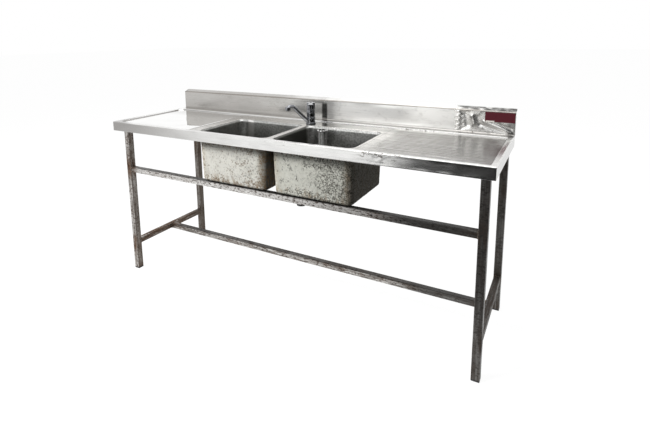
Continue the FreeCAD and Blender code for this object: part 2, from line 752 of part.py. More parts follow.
def bowl_coat(side, sign):
    """The sprayed layer that covers a bowl's outside up to its flange."""
    sheet = dim("sheet")
    outside = leaning_box(side + "_coat_outside", sign, sheet + dim("coat"), dim("bowl_depth") + dim("coat"))
    above = new_sketch(outside, side + "_coat_top", lift=FLOOR_TOP)
    bowl_mouth(above, BOWL_CENTRE, dim("bowl_flange"), dim("bowl_radius") + dim("bowl_flange"))
    pocket(outside, above, sheet)
    waste_hole(outside, side + "_coat_waste", sign, BOWL_FLOOR - sheet - dim("coat"), dim("coat") * 2)
    inside = leaning_box(side + "_coat_inside", sign, sheet, dim("bowl_depth"))
    minus(side + "_bowl_coat", outside, inside)


# ---------------------------------------------------------------------------------------------------
# Frame
# ---------------------------------------------------------------------------------------------------

def square_tube(sketch, width, wall, corner):
    """Outer and inner outline of a square tube, its corner at the sketch's origin."""
    rounded_rectangle(sketch, width * 0, width, width * 0, width, corner)
    rounded_rectangle(sketch, wall, width - wall, wall, width - wall, corner - wall + 0.5)


def leg(name, x, y):
    """An upright tube from the collar of its foot to the plate on its head."""
    body = new_body(name, x, y, dim("foot_height"))
    section = new_sketch(body, name + "_section")
    square_tube(section, dim("leg_width"), dim("leg_wall"), dim("leg_corner"))
    pad(body, section, FLOOR_UNDER - dim("head_plate") - dim("foot_height"))
    return body


def rail(name, plane, x, y, z, length):
    """A square rail along X (drawn on YZ) or along Y (drawn on XZ)."""
    body = new_body(name, x, y, z)
    section = new_sketch(body, name + "_section", plane)
    square_tube(section, dim("rail_width"), dim("rail_wall"), dim("rail_corner"))
    pad(body, section, length, down=plane == "XZ_Plane")
    return body


def drill_front(body, name, places, depth):
    """Old screw holes through the front wall of a tube; places are distances in the body."""
    holes = new_sketch(body, name, "XZ_Plane")
    for x, z in places:
        circle(holes, x, z, dim("spare_hole"))
    pocket(body, holes, depth)


def foot(name, x, y):
    """A black insert: a collar under the tube and a plug inside it."""
    body = new_body(name, x, y)
    width = dim("leg_width")
    collar = new_sketch(body, name + "_collar")
    rounded_rectangle(collar, width * 0, width, width * 0, width, dim("leg_corner"))
    base = pad(body, collar, dim("foot_height"))

    def is_lower_edge(edge, middle, ends):
        return near(middle.z, 0)

    rounded = fillet(body, base, dim("foot_edge"), is_lower_edge)
    inset = dim("leg_wall") + dim("foot_play")
    plug = new_sketch(body, name + "_plug", lift=dim("foot_height"))
    rounding = dim("leg_corner") - dim("leg_wall") + 0.5
    rounded_rectangle(plug, inset, width - inset, inset, width - inset, rounding)
    pad(body, plug, dim("foot_plug"))
    return rounded


def head_plate(name, x, y, inwards):
    """The plate on a front leg's head; it reaches inwards beside the leg and takes a stud."""
    left = x if inwards > 0 else x - dim("head_reach")
    body = new_body(name, left, y, FLOOR_UNDER - dim("head_plate"))
    outline = new_sketch(body, name + "_outline")
    width = dim("leg_width")
    rounded_rectangle(outline, width * 0, width + dim("head_reach"), width * 0, width, dim("leg_corner"))
    stud_x = width + dim("head_reach") / 2 if inwards > 0 else dim("head_reach") / 2
    circle(outline, stud_x, width / 2, dim("stud_diameter") + dim("stud_play") * 2)
    pad(body, outline, dim("head_plate"))


def leg_cap(name, x, y):
    """The plate that closes a rear leg, which ends free behind the splashback."""
    body = new_body(name, x, y, FLOOR_UNDER - dim("head_plate"))
    outline = new_sketch(body, name + "_outline")
    width = dim("leg_width")
    rounded_rectangle(outline, width * 0, width, width * 0, width, dim("leg_corner"))
    pad(body, outline, dim("head_plate"))


CORNERS = [("front_left", LEG_LEFT, LEG_FRONT, 1), ("front_right", LEG_RIGHT, LEG_FRONT, -1),
           ("rear_left", LEG_LEFT, LEG_REAR, 1), ("rear_right", LEG_RIGHT, LEG_REAR, -1)]


def is_front(name):
    return name.startswith("front")


def stud_x(x, inwards):
    """The middle of a stud beside the leg that stands at x."""
    return x + dim("leg_width") + dim("head_reach") / 2 if inwards > 0 else x - dim("head_reach") / 2


def fixings():
    """Studs under the worktop and their nuts, one group each.

    The front studs pass the plates on the legs' heads, the rear ones the rear top rail. On the left
    they stand under the worktop's own floor, on the right under the sink plate, which lies higher.
    """
    studs = []
    nuts = []
    front_y = LEG_FRONT + dim("leg_width") / 2
    rear_y = FRONT + dim("rear_rail_front") + dim("rail_width") / 2
    for name, x, y, inwards in CORNERS:
        along = stud_x(x, inwards)
        across = front_y if is_front(name) else rear_y
        under = FLOOR_UNDER if inwards > 0 else FLOOR_TOP
        clamped = dim("head_plate") if is_front(name) else dim("rail_width")
        nut_z = FLOOR_UNDER - clamped - dim("nut_height")
        stud = doc.addObject("Part::Cylinder", name + "_stud")
        bind(stud, "Radius", dim("stud_diameter") / 2)
        bind(stud, "Height", dim("stud_length"))
        place(stud, along, across, under - dim("stud_length"))
        studs.append(stud)
        block = doc.addObject("Part::Prism", name + "_nut_block")
        block.Polygon = 6
        bind(block, "Circumradius", dim("nut_flats") / math.sqrt(3))
        bind(block, "Height", dim("nut_height"))
        place(block, along, across, nut_z)
        thread = doc.addObject("Part::Cylinder", name + "_nut_thread")
        bind(thread, "Radius", dim("stud_diameter") / 2 + dim("turn_play"))
        bind(thread, "Height", dim("nut_height"))
        place(thread, along, across, nut_z)
        nuts.append(minus(name + "_nut", block, thread))
    for label, members in (("deck_studs", studs), ("deck_nuts", nuts)):
        group = doc.addObject("Part::Compound", label)
        group.Label = label
        group.Links = members


def frame():
    for name, x, y, inwards in CORNERS:
        upright = leg(name + "_leg", x, y)
        if name == "rear_right":
            hole_z = dim("leg_hole_height") - dim("foot_height")
            drill_front(upright, "rear_right_leg_hole", [(dim("leg_width") / 2, hole_z)], dim("leg_wall"))
        foot(name + "_foot", x, y)
        if is_front(name):
            head_plate(name + "_head_plate", x, y, inwards)
        else:
            leg_cap(name + "_leg_cap", x, y)
    fixings()

    inner_left = LEG_LEFT + dim("leg_width")
    inner_length = LEG_RIGHT - inner_left
    front_rail = rail("front_rail", "YZ_Plane", inner_left, LEG_FRONT + TUBE_OFFSET, dim("front_rail_height"),
                      inner_length)
    centres = [LEFT + dim(name) - inner_left + dim(name + "_gap") / 2 * sign
               for name in ("spare_left", "spare_right") for sign in (-1, 1)]
    drill_front(front_rail, "front_rail_holes", [(x, dim("rail_width") / 2) for x in centres],
                dim("rail_wall"))

    between_legs = LEG_REAR - LEG_FRONT - dim("leg_width")
    behind_front_legs = LEG_FRONT + dim("leg_width")
    top_rail_height = FLOOR_UNDER - dim("rail_width")
    for side, x in (("left", LEG_LEFT), ("right", LEG_RIGHT)):
        rail(side + "_low_rail", "XZ_Plane", x + TUBE_OFFSET, behind_front_legs, dim("low_rail_height"),
             between_legs)
        rail(side + "_top_rail", "XZ_Plane", x + TUBE_OFFSET, behind_front_legs, top_rail_height,
             between_legs)
    from_rail = LEG_LEFT + TUBE_OFFSET + dim("rail_width")
    rail_to_rail = LEG_RIGHT + TUBE_OFFSET - from_rail
    middle = LEG_FRONT + dim("frame_depth") / 2 - dim("rail_width") / 2
    rail("stretcher", "YZ_Plane", from_rail, middle, dim("low_rail_height"), rail_to_rail)
    rear_rail = rail("rear_top_rail", "YZ_Plane", from_rail, FRONT + dim("rear_rail_front"), top_rail_height,
                     rail_to_rail)
    stud_holes = new_sketch(rear_rail, "rear_rail_stud_holes", lift=dim("rail_width"))
    for x, inwards in ((LEG_LEFT, 1), (LEG_RIGHT, -1)):
        circle(stud_holes, stud_x(x, inwards) - from_rail, dim("rail_width") / 2,
               dim("stud_diameter") + dim("stud_play") * 2)
    pocket(rear_rail, stud_holes, dim("rail_width"))


def stiffeners():
    """Folded channels that keep the thin sheet flat: one behind the front apron, two across."""
    wall = dim("stiffener_wall")
    sheet = dim("sheet")
    front = new_body("front_stiffener", LEFT + sheet + dim("edge_stiffener_play"))
    section = new_sketch(front, "front_stiffener_section", "YZ_Plane")
    near_y = FRONT + sheet + dim("edge_stiffener_play")
    far_y = near_y + dim("edge_stiffener_width")
    top = dim("deck_height") - sheet
    bottom = top - dim("edge_stiffener_height")
    polygon(section, [(near_y, bottom), (near_y + wall, bottom), (near_y + wall, top - wall),
                      (far_y - wall, top - wall), (far_y - wall, bottom), (far_y, bottom),
                      (far_y, top), (near_y, top)])
    pad(front, section, dim("unit_length") - (sheet + dim("edge_stiffener_play")) * 2)

    start = PLATE_FRONT + dim("plate_lap") + dim("edge_stiffener_play")
    length = FRONT + dim("rear_rail_front") - start
    for name, centre, top in (("left_deck_stiffener", (RECESS_LEFT + PLATE_LEFT) / 2, FLOOR_UNDER),
                              ("drainer_stiffener", (RIBS_LEFT + RIBS_RIGHT) / 2, FLOOR_TOP)):
        body = new_body(name, centre, start)
        half = dim("deck_stiffener_width") / 2
        low = top - dim("deck_stiffener_height")
        profile = new_sketch(body, name + "_section", "XZ_Plane")
        polygon(profile, [(-half, low), (half * 1, low), (half * 1, top), (half - wall, top),
                          (half - wall, low + wall), (wall - half, low + wall), (wall - half, top),
                          (-half, top)])
        pad(body, profile, length, down=True)


# ---------------------------------------------------------------------------------------------------
# Wastes and drain
# ---------------------------------------------------------------------------------------------------

THROAT_END = BOWL_FLOOR - dim("throat_length")
SEAL_TOP = BOWL_FLOOR - dim("sheet") - dim("coat")
NUT_TOP = SEAL_TOP - dim("seal_height")
CAP_TOP = NUT_TOP - dim("back_nut_height")
DRAIN_RUN = THROAT_END - dim("drain_drop")


def waste(side, sign):
    """Flange with its throat, rubber seal and back nut, all on the waste's own axis."""
    x = SERVICE_X + dim("waste_reach") * sign
    bore = dim("throat_bore") / 2
    throat = dim("throat_diameter") / 2
    lip = dim("waste_flange") / 2
    low = THROAT_END - BOWL_FLOOR
    high = dim("waste_flange_height")
    turned(side + "_waste_flange", [(bore, low), (throat, low), (throat, 0), (lip, 0),
                                    (lip - high, high), (bore, high)], x, WASTE_Y, BOWL_FLOOR)
    clear = dim("throat_diameter") + dim("turn_play") * 2
    ring(side + "_waste_seal", dim("seal_diameter"), clear, dim("seal_height"), x, WASTE_Y, NUT_TOP)
    ring(side + "_back_nut", dim("back_nut_diameter"), clear, dim("back_nut_height"), x, WASTE_Y, CAP_TOP)


def strainer():
    """A perforated disc on the left waste flange; its spigot sits in the throat."""
    x = SERVICE_X - dim("waste_reach")
    body = new_body("left_strainer", x, WASTE_Y, BOWL_FLOOR + dim("waste_flange_height"))
    disc = new_sketch(body, "strainer_disc")
    circle(disc, 0, 0, dim("strainer_diameter"))
    pad(body, disc, dim("strainer_height"))
    spigot = new_sketch(body, "strainer_spigot")
    circle(spigot, 0, 0, dim("throat_bore") - dim("strainer_play") * 2)
    pad(body, spigot, dim("strainer_spigot"), down=True)
    depth = dim("strainer_height") + dim("strainer_spigot")
    centre = new_sketch(body, "strainer_centre", lift=dim("strainer_height"))
    circle(centre, 0, 0, dim("strainer_hole"))
    pocket(body, centre, depth)
    one = new_sketch(body, "strainer_ring", lift=dim("strainer_height"))
    circle(one, dim("strainer_ring"), 0, dim("strainer_hole"))
    first = pocket(body, one, depth)
    doc.recompute()
    pattern = body.newObject("PartDesign::PolarPattern", "strainer_holes")
    pattern.Originals = [first]
    pattern.Axis = (origin_item(body, "Z_Axis"), [""])
    pattern.Angle = 360
    bind(pattern, "Occurrences", dim("strainer_holes"))
    body.Tip = pattern


def elbow(side, sign):
    """Cap on the throat, then a pipe that bends from upright to level and runs to the tee."""
    x = SERVICE_X + dim("waste_reach") * sign
    body = new_body(side + "_drain_elbow", x, WASTE_Y)
    play = dim("turn_play")
    cap = new_sketch(body, side + "_drain_cap", "XZ_Plane")
    sleeve = dim("throat_diameter") / 2 + play
    outer = dim("socket_diameter") / 2
    pipe = dim("drain_pipe") / 2
    wall = dim("drain_wall")
    floor = THROAT_END - play
    polygon(cap, [(sleeve, floor), (sleeve, CAP_TOP), (outer, CAP_TOP), (outer, floor - wall),
                  (pipe - wall, floor - wall), (pipe - wall, floor)])
    revolve(body, cap)
    level = DRAIN_RUN
    reach = (dim("waste_reach") - dim("tee_arm")) * -sign
    path = new_sketch(body, side + "_drain_path", "XZ_Plane")
    bent_path(path, [(0, floor), (0, level), (reach, level)], dim("drain_bend"))
    section = new_sketch(body, side + "_drain_section", lift=floor)
    circle(section, 0, 0, dim("drain_pipe"))
    circle(section, 0, 0, dim("drain_pipe") - wall * 2)
    sweep(body, side + "_drain_sweep", section, path)


def tee():
    """The black tee between the two level runs; its open outlet shows below the front rail."""
    body = new_body("drain_tee", SERVICE_X, WASTE_Y, DRAIN_RUN)
    arm = new_sketch(body, "tee_arm", "YZ_Plane")
    circle(arm, 0, 0, dim("socket_diameter"))
    pad(body, arm, dim("tee_arm") * 2 + dim("socket_length"), middle=True)
    drop = dim("outlet_drop")
    stem = new_sketch(body, "tee_stem")
    circle(stem, 0, 0, dim("drain_pipe"))
    pad(body, stem, drop, down=True)
    collar = new_sketch(body, "tee_collar", lift=-drop)
    circle(collar, 0, 0, dim("socket_diameter"))
    pad(body, collar, dim("outlet_collar"))
    sockets = new_sketch(body, "tee_sockets", "YZ_Plane")
    circle(sockets, 0, 0, dim("drain_pipe") + dim("turn_play") * 2)
    bore = body.newObject("PartDesign::Pocket", "tee_socket_bore")
    bore.Profile = sockets
    bore.SideType = "Symmetric"
    bind(bore, "Length", dim("tee_arm") * 2 + dim("socket_length"))
    outlet = new_sketch(body, "tee_outlet")
    circle(outlet, 0, 0, dim("drain_pipe") - dim("drain_wall") * 2)
    pocket(body, outlet, drop)


def standpipe():
    """The overflow pipe that stands in the right waste, and the rubber plug on its neck."""
    x = SERVICE_X + dim("waste_reach")
    wall = dim("standpipe_wall")
    neck = dim("standpipe_neck") / 2
    pipe = dim("standpipe_diameter") / 2
    rim = dim("standpipe_rim") / 2
    seat = dim("waste_flange_height")
    shoulder = seat + dim("plug_lip_height") + dim("turn_play")
    widen = pipe - neck
    top = PLATE_TOP - dim("standpipe_drop") - BOWL_FLOOR
    bead = rim - pipe
    foot = seat - dim("plug_depth")
    turned("standpipe", [(neck - wall, foot), (neck, foot), (neck, shoulder), (pipe, shoulder + widen),
                         (pipe, top - bead), (rim, top - bead / 2), (rim - bead / 2, top),
                         (pipe - wall, top), (pipe - wall, shoulder + widen), (neck - wall, shoulder)],
           x, WASTE_Y, BOWL_FLOOR)
    grip = neck + dim("turn_play")
    lip = dim("plug_lip") / 2
    lip_top = seat + dim("plug_lip_height")
    turned("standpipe_plug", [(grip, foot), (dim("plug_bottom") / 2, foot), (dim("plug_top") / 2, seat),
                              (lip, seat), (lip, lip_top), (grip, lip_top)], x, WASTE_Y, BOWL_FLOOR)


# ---------------------------------------------------------------------------------------------------
# Tap
# ---------------------------------------------------------------------------------------------------

NECK_BOTTOM = dim("tap_gasket") + dim("tap_foot_height")
NECK_TOP = NECK_BOTTOM + dim("swivel_height") + dim("swivel_gap") * 2
SWIVEL_MIDDLE = NECK_BOTTOM + dim("swivel_gap") + dim("swivel_height") / 2
HUB_BOTTOM = dim("tap_body_height") + dim("hub_gap")
HUB_TOP = HUB_BOTTOM + dim("hub_height")


def tap_body():
    """Gasket, foot ring and the body with its neck, threaded shank and cartridge well."""
    ring("tap_gasket", dim("tap_foot_diameter"), dim("tap_shank") + dim("turn_play") * 2, dim("tap_gasket"),
         SERVICE_X, TAP_Y, PLATE_TOP)
    foot_outer = dim("tap_foot_diameter") / 2
    foot_bore = dim("tap_neck") / 2 + dim("turn_play")
    bevel = dim("tap_foot_height") / 3
    turned("tap_foot_ring", [(foot_bore, 0), (foot_outer, 0), (foot_outer, dim("tap_foot_height") - bevel),
                             (foot_outer - bevel, dim("tap_foot_height")), (foot_bore, dim("tap_foot_height"))],
           SERVICE_X, TAP_Y, PLATE_TOP + dim("tap_gasket"))
    body_radius = dim("tap_body_diameter") / 2
    neck = dim("tap_neck") / 2
    shank = dim("tap_shank") / 2
    bore = dim("tap_bore") / 2
    well = dim("cartridge_diameter") / 2 + dim("cartridge_play")
    well_floor = dim("tap_body_height") - dim("cartridge_height") - dim("cartridge_play")
    turned("tap_body", [(bore, -dim("tap_shank_length")), (shank, -dim("tap_shank_length")),
                        (shank, dim("tap_gasket")), (neck, dim("tap_gasket")), (neck, NECK_TOP),
                        (body_radius, NECK_TOP), (body_radius, dim("tap_body_height")),
                        (well, dim("tap_body_height")), (well, well_floor), (bore, well_floor)],
           SERVICE_X, TAP_Y, PLATE_TOP)


def tap_under_plate():
    """Clamp washer, nut and the two copper inlets below the sink plate."""
    clear = dim("tap_shank") + dim("turn_play") * 2
    under = FLOOR_TOP - dim("clamp_height")
    ring("tap_clamp_washer", dim("clamp_diameter"), clear, dim("clamp_height"), SERVICE_X, TAP_Y, under)
    nut = new_body("tap_back_nut", SERVICE_X, TAP_Y, under - dim("tap_nut_height"))
    outline = new_sketch(nut, "tap_nut_outline")
    points = []
    for k in range(6):
        angle = math.radians(60 * k)
        corner = dim("tap_nut_flats") / math.sqrt(3)
        points.append((corner * round(math.cos(angle), 9), corner * round(math.sin(angle), 9)))
    polygon(outline, points)
    circle(outline, 0, 0, clear)
    pad(nut, outline, dim("tap_nut_height"))
    shank_end = PLATE_TOP - dim("tap_shank_length")
    for side, sign in SIDES:
        inlet = dim("inlet_diameter")
        ring(side + "_tap_inlet", inlet, inlet - dim("inlet_wall") * 2,
             dim("inlet_length") + dim("inlet_grip"), SERVICE_X + dim("inlet_gap") / 2 * sign, TAP_Y,
             shank_end - dim("inlet_length"))


def spout():
    """Swivel ring and a tube that rises from it, runs level and turns down into the nozzle."""
    body = new_body("tap_spout", SERVICE_X, TAP_Y, PLATE_TOP, turn=dim("spout_turn"))
    outer = dim("swivel_diameter") / 2
    inner = dim("tap_neck") / 2 + dim("turn_play")
    low = NECK_BOTTOM + dim("swivel_gap")
    high = low + dim("swivel_height")
    swivel = new_sketch(body, "swivel_ring", "XZ_Plane")
    polygon(swivel, [(inner, low), (outer, low), (outer, high), (inner, high)])
    revolve(body, swivel)

    crest = SWIVEL_MIDDLE + dim("spout_rise")
    mouth = crest - dim("nozzle_drop")
    start = inner + dim("swivel_gap") * 3
    path = new_sketch(body, "spout_path", "XZ_Plane")
    bent_path(path, [(start, SWIVEL_MIDDLE), (dim("spout_foot"), SWIVEL_MIDDLE), (dim("spout_crest"), crest),
                     (dim("spout_reach"), crest), (dim("spout_reach"), mouth)], dim("spout_bend"))
    section = new_sketch(body, "spout_section", "YZ_Plane", lift=start)
    circle(section, 0, SWIVEL_MIDDLE, dim("spout_diameter"))
    sweep(body, "spout_tube", section, path)

    nozzle = new_sketch(body, "nozzle_outline", lift=mouth)
    circle(nozzle, dim("spout_reach"), 0, dim("nozzle_diameter"))
    pad(body, nozzle, dim("nozzle_height"))
    way = new_sketch(body, "spout_way", "YZ_Plane", lift=start)
    circle(way, 0, SWIVEL_MIDDLE, dim("spout_bore"))
    hollow(body, "spout_waterway", way, path)
    well = new_sketch(body, "aerator_well", lift=mouth)
    circle(well, dim("spout_reach"), 0, dim("aerator_diameter") + dim("turn_play") * 2)
    pocket(body, well, dim("aerator_height") - dim("aerator_show"), up=True)

    nib = new_body("tap_aerator", SERVICE_X, TAP_Y, PLATE_TOP, turn=dim("spout_turn"))
    barrel = new_sketch(nib, "aerator_barrel", lift=mouth - dim("aerator_show"))
    circle(barrel, dim("spout_reach"), 0, dim("aerator_diameter"))
    circle(barrel, dim("spout_reach"), 0, dim("spout_bore"))
    pad(nib, barrel, dim("aerator_height"))


def dome(base, z):
    """The cover on the cartridge: a zone of a ball about the lever's pivot, ending below the pin."""
    cover = new_body("tap_dome", SERVICE_X, TAP_Y, z)
    profile = new_sketch(cover, "dome_profile", "XZ_Plane")
    top = dim("pivot_height") - dim("pin_diameter") / 2 - dim("dome_gap")
    ball = number(dim("dome_radius"))
    pivot = number(dim("pivot_height"))
    hole = number(dim("dome_hole")) / 2
    low_angle = -math.asin((pivot - number(base)) / ball)
    high_angle = -math.asin((pivot - number(top)) / ball)
    circle_line = Part.Circle(FreeCAD.Vector(0, pivot, 0), FreeCAD.Vector(0, 0, 1), ball)
    arc = profile.addGeometry(Part.ArcOfCircle(circle_line, low_angle, high_angle))
    upper = FreeCAD.Vector(ball * math.cos(high_angle), number(top), 0)
    lower = FreeCAD.Vector(ball * math.cos(low_angle), number(base), 0)
    chain = [upper, FreeCAD.Vector(hole, number(top), 0), FreeCAD.Vector(hole, number(base), 0), lower]
    for start, finish in zip(chain, chain[1:]):
        profile.addGeometry(Part.LineSegment(start, finish))
    for k in range(4):
        following = arc + (k + 1) % 4
        profile.addConstraint(Sketcher.Constraint("Coincident", arc + k, 2, following, 1))
    profile.addConstraint(Sketcher.Constraint("Horizontal", arc + 1))
    profile.addConstraint(Sketcher.Constraint("Horizontal", arc + 3))
    hold(profile, arc, 3, (0, dim("pivot_height")))
    measure(profile, "Radius", (arc,), dim("dome_radius"))
    hold(profile, arc + 1, 2, (dim("dome_hole") / 2, top))
    hold(profile, arc + 2, 2, (dim("dome_hole") / 2, base))
    revolve(cover, profile)


def cartridge():
    """Cartridge in its well, ball-shaped cover over it, and the spindle with the lever's pin."""
    z = PLATE_TOP
    base = dim("tap_body_height")
    radius = dim("cartridge_diameter") / 2
    core = dim("spindle_diameter") / 2
    turned("tap_cartridge", [(0, base - dim("cartridge_height")), (radius, base - dim("cartridge_height")),
                             (radius, base), (0, base)], SERVICE_X, TAP_Y, z)

    dome(base, z)

    tip = dim("pivot_height") + dim("pin_diameter") * 1.5
    spindle = turned("tap_spindle", [(0, base), (core, base), (core, tip), (0, tip)],
                     SERVICE_X, TAP_Y, z, turn=dim("lever_turn"))
    eye = new_sketch(spindle, "spindle_eye", "XZ_Plane", lift=-core)
    circle(eye, 0, dim("pivot_height"), dim("pin_diameter"))
    pocket(spindle, eye, core * 2, up=True)

    pin = new_body("lever_pin", SERVICE_X, TAP_Y, z, turn=dim("lever_turn"))
    end = new_sketch(pin, "pin_section", "XZ_Plane")
    circle(end, 0, dim("pivot_height"), dim("pin_diameter"))
    pad(pin, end, dim("pin_length"), middle=True)


def lever():
    """Hub with a round cavity over the cover, its underside cut away behind the pivot, and the paddle."""
    body = new_body("tap_lever", SERVICE_X, TAP_Y, PLATE_TOP, turn=dim("lever_turn"))
    hub = new_sketch(body, "hub_outline", lift=HUB_BOTTOM)
    circle(hub, 0, 0, dim("hub_diameter"))
    pad(body, hub, dim("hub_height"))

    paddle_low = HUB_TOP - dim("lever_thickness")
    paddle = new_sketch(body, "paddle_outline", lift=paddle_low)
    root = dim("lever_root") / 2
    tip = dim("lever_tip") / 2
    polygon(paddle, [(0, root), (0, -root), (dim("hub_diameter") / 2, -root), (dim("lever_length"), -tip),
                     (dim("lever_length"), tip), (dim("hub_diameter") / 2, root)])
    solid = pad(body, paddle, dim("lever_thickness"))

    def is_paddle_corner(edge, middle, ends):
        at_tip = near(middle.x, dim("lever_length")) and near(abs(middle.y), tip)
        return at_tip and not near(ends[0].z, ends[1].z)

    rounded = fillet(body, solid, dim("lever_thickness"), is_paddle_corner)

    def is_top_edge(edge, middle, ends):
        beyond_hub = math.hypot(middle.x, middle.y) > number(dim("hub_diameter")) / 2
        return near(middle.z, HUB_TOP) and (middle.x < 0 or beyond_hub)

    fillet(body, rounded, dim("lever_thickness") / 3, is_top_edge)

    cavity = new_sketch(body, "hub_cavity", lift=HUB_BOTTOM)
    circle(cavity, 0, 0, dim("lever_cavity") * 2)
    pocket(body, cavity, dim("pivot_height") + dim("lever_cavity") * 0.6 - HUB_BOTTOM, up=True)

    relief = new_sketch(body, "hub_relief", "XZ_Plane")
    reach = dim("hub_diameter")
    slope = math.tan(math.radians(number(dim("lever_lift"))))
    polygon(relief, [(0, HUB_BOTTOM - 1), (-reach, HUB_BOTTOM - 1), (-reach, HUB_BOTTOM + reach * slope),
                     (0, HUB_BOTTOM)])
    cut = body.newObject("PartDesign::Pocket", "hub_relief_cut")
    cut.Profile = relief
    cut.SideType = "Symmetric"
    bind(cut, "Length", reach * 2)

    pin_hole = new_sketch(body, "hub_pin_hole", "XZ_Plane")
    circle(pin_hole, 0, dim("pivot_height"), dim("pin_diameter") + dim("turn_play") * 2)
    bore = body.newObject("PartDesign::Pocket", "hub_pin_bore")
    bore.Profile = pin_hole
    bore.SideType = "Symmetric"
    bind(bore, "Length", dim("pin_length") + dim("turn_play") * 4)

    disc = new_body("lever_index", SERVICE_X, TAP_Y, PLATE_TOP, turn=dim("lever_turn"))
    face = new_sketch(disc, "index_outline", lift=HUB_TOP)
    circle(face, 0, 0, dim("index_diameter"))
    pad(disc, face, dim("index_height"))


# ---------------------------------------------------------------------------------------------------
# Labels
# ---------------------------------------------------------------------------------------------------

def labels():
    """A plain label at the right end of the splashback and a plain sticker over its lower corner."""
    right = RIGHT - dim("label_end")
    left = right - dim("label_length")
    bottom = dim("deck_height") + dim("splash_height") - dim("label_top") - dim("label_height")
    face = SPLASH_FACE - dim("label_thickness")
    for name, x, y, z, size in (
            ("label_plate", left, face, bottom, "label"),
            ("label_sticker", left + dim("sticker_inset"), face - dim("sticker_thickness"),
             bottom - dim("sticker_drop"), "sticker")):
        piece = doc.addObject("Part::Box", name)
        piece.Label = name
        bind(piece, "Length", dim(size + "_length"))
        bind(piece, "Width", dim(size + "_thickness"))
        bind(piece, "Height", dim(size + "_height"))
        place(piece, x, y, z)


# ---------------------------------------------------------------------------------------------------
# Build, check and write
# ---------------------------------------------------------------------------------------------------

def check_document():
    """Every feature has to be sound, and every cut has to remove something."""
    for item in doc.Objects:
        if "Invalid" in item.State or "Error" in item.State:
            raise RuntimeError("%s did not compute: %s" % (item.Name, item.State))
        if item.TypeId in ("PartDesign::Pocket", "PartDesign::SubtractivePipe"):
            before = item.BaseFeature.Shape.Volume
            if not item.Shape.Volume < before - 0.1:
                raise RuntimeError("%s removes nothing" % item.Name)


def sub_parts():
    """Bodies, groups and plain boxes that stand for a piece of the unit."""
    inner = set()
    for item in doc.Objects:
        if item.TypeId in ("Part::Compound", "Part::Cut"):
            inner.update(used.Name for used in item.OutList)
    kinds = ("PartDesign::Body", "Part::Compound", "Part::Cut", "Part::Box")
    return [item for item in doc.Objects if item.TypeId in kinds and item.Name not in inner]


def main():
    worktop()
    sink_plate()
    for side, sign in SIDES:
        bowl(side, sign)
        bowl_coat(side, sign)
        waste(side, sign)
        elbow(side, sign)
    strainer()
    tee()
    standpipe()
    frame()
    stiffeners()
    tap_body()
    tap_under_plate()
    spout()
    cartridge()
    lever()
    labels()
    doc.recompute()
    check_document()
    os.makedirs("parts", exist_ok=True)
    pieces = sub_parts()
    for piece in pieces:
        shape = piece.Shape
        if shape.isNull() or not shape.isValid():
            raise RuntimeError("%s has no sound shape" % piece.Label)
        shape.exportStep(os.path.join("parts", piece.Label + ".step"))
        box = shape.BoundBox
        print("%-24s solids %d  volume %12.1f  x %8.1f %8.1f  y %7.1f %7.1f  z %7.1f %7.1f" % (
            piece.Label, len(shape.Solids), shape.Volume, box.XMin, box.XMax, box.YMin, box.YMax,
            box.ZMin, box.ZMax))
    print(len(pieces), "sub-parts written")


main()
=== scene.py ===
# %% [markdown]
# # A catering sink unit
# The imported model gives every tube, sheet and fitting its size and place. This lesson dresses it: it
# rebuilds the folded sheets, the bowls and the tap as smooth computed surfaces, gives each metal its
# own worn finish, and lights the unit softly on a white floor.

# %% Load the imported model
import bpy
import bmesh
import math
import numpy as np
from mathutils import Matrix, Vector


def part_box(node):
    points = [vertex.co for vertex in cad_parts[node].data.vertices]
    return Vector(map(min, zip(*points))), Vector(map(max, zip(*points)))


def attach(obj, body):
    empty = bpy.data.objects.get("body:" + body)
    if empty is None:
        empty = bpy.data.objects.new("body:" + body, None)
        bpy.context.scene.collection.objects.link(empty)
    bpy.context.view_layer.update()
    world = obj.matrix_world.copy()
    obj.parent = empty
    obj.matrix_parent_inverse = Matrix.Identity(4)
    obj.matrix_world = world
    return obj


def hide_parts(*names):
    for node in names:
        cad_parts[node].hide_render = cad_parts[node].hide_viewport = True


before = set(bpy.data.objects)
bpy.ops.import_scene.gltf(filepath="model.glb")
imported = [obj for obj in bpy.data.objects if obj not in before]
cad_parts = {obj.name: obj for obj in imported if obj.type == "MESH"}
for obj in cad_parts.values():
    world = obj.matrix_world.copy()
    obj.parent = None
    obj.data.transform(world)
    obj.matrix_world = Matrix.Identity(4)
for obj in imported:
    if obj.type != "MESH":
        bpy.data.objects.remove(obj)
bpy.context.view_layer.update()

# %% [markdown]
# ## Sizes
# A dresser doesn't guess. The ends of the worktop, the plate and the bowls are read from the boxes of
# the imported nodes, so the new surfaces lie where the solids are. Only bends and folds, which a box
# doesn't tell, are written here, in metres.

# %% Sizes


def low(node, axis):
    """Lowest coordinate of a node along an axis, 0 for X, 1 for Y, 2 for Z."""
    return float(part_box(node)[0][axis])


def high(node, axis):
    """Highest coordinate of a node along an axis."""
    return float(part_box(node)[1][axis])


def middle(node, axis):
    """Middle of a node along an axis."""
    return (low(node, axis) + high(node, axis)) / 2


def plan(node):
    """Middle of a node, seen from above."""
    return middle(node, 0), middle(node, 1)


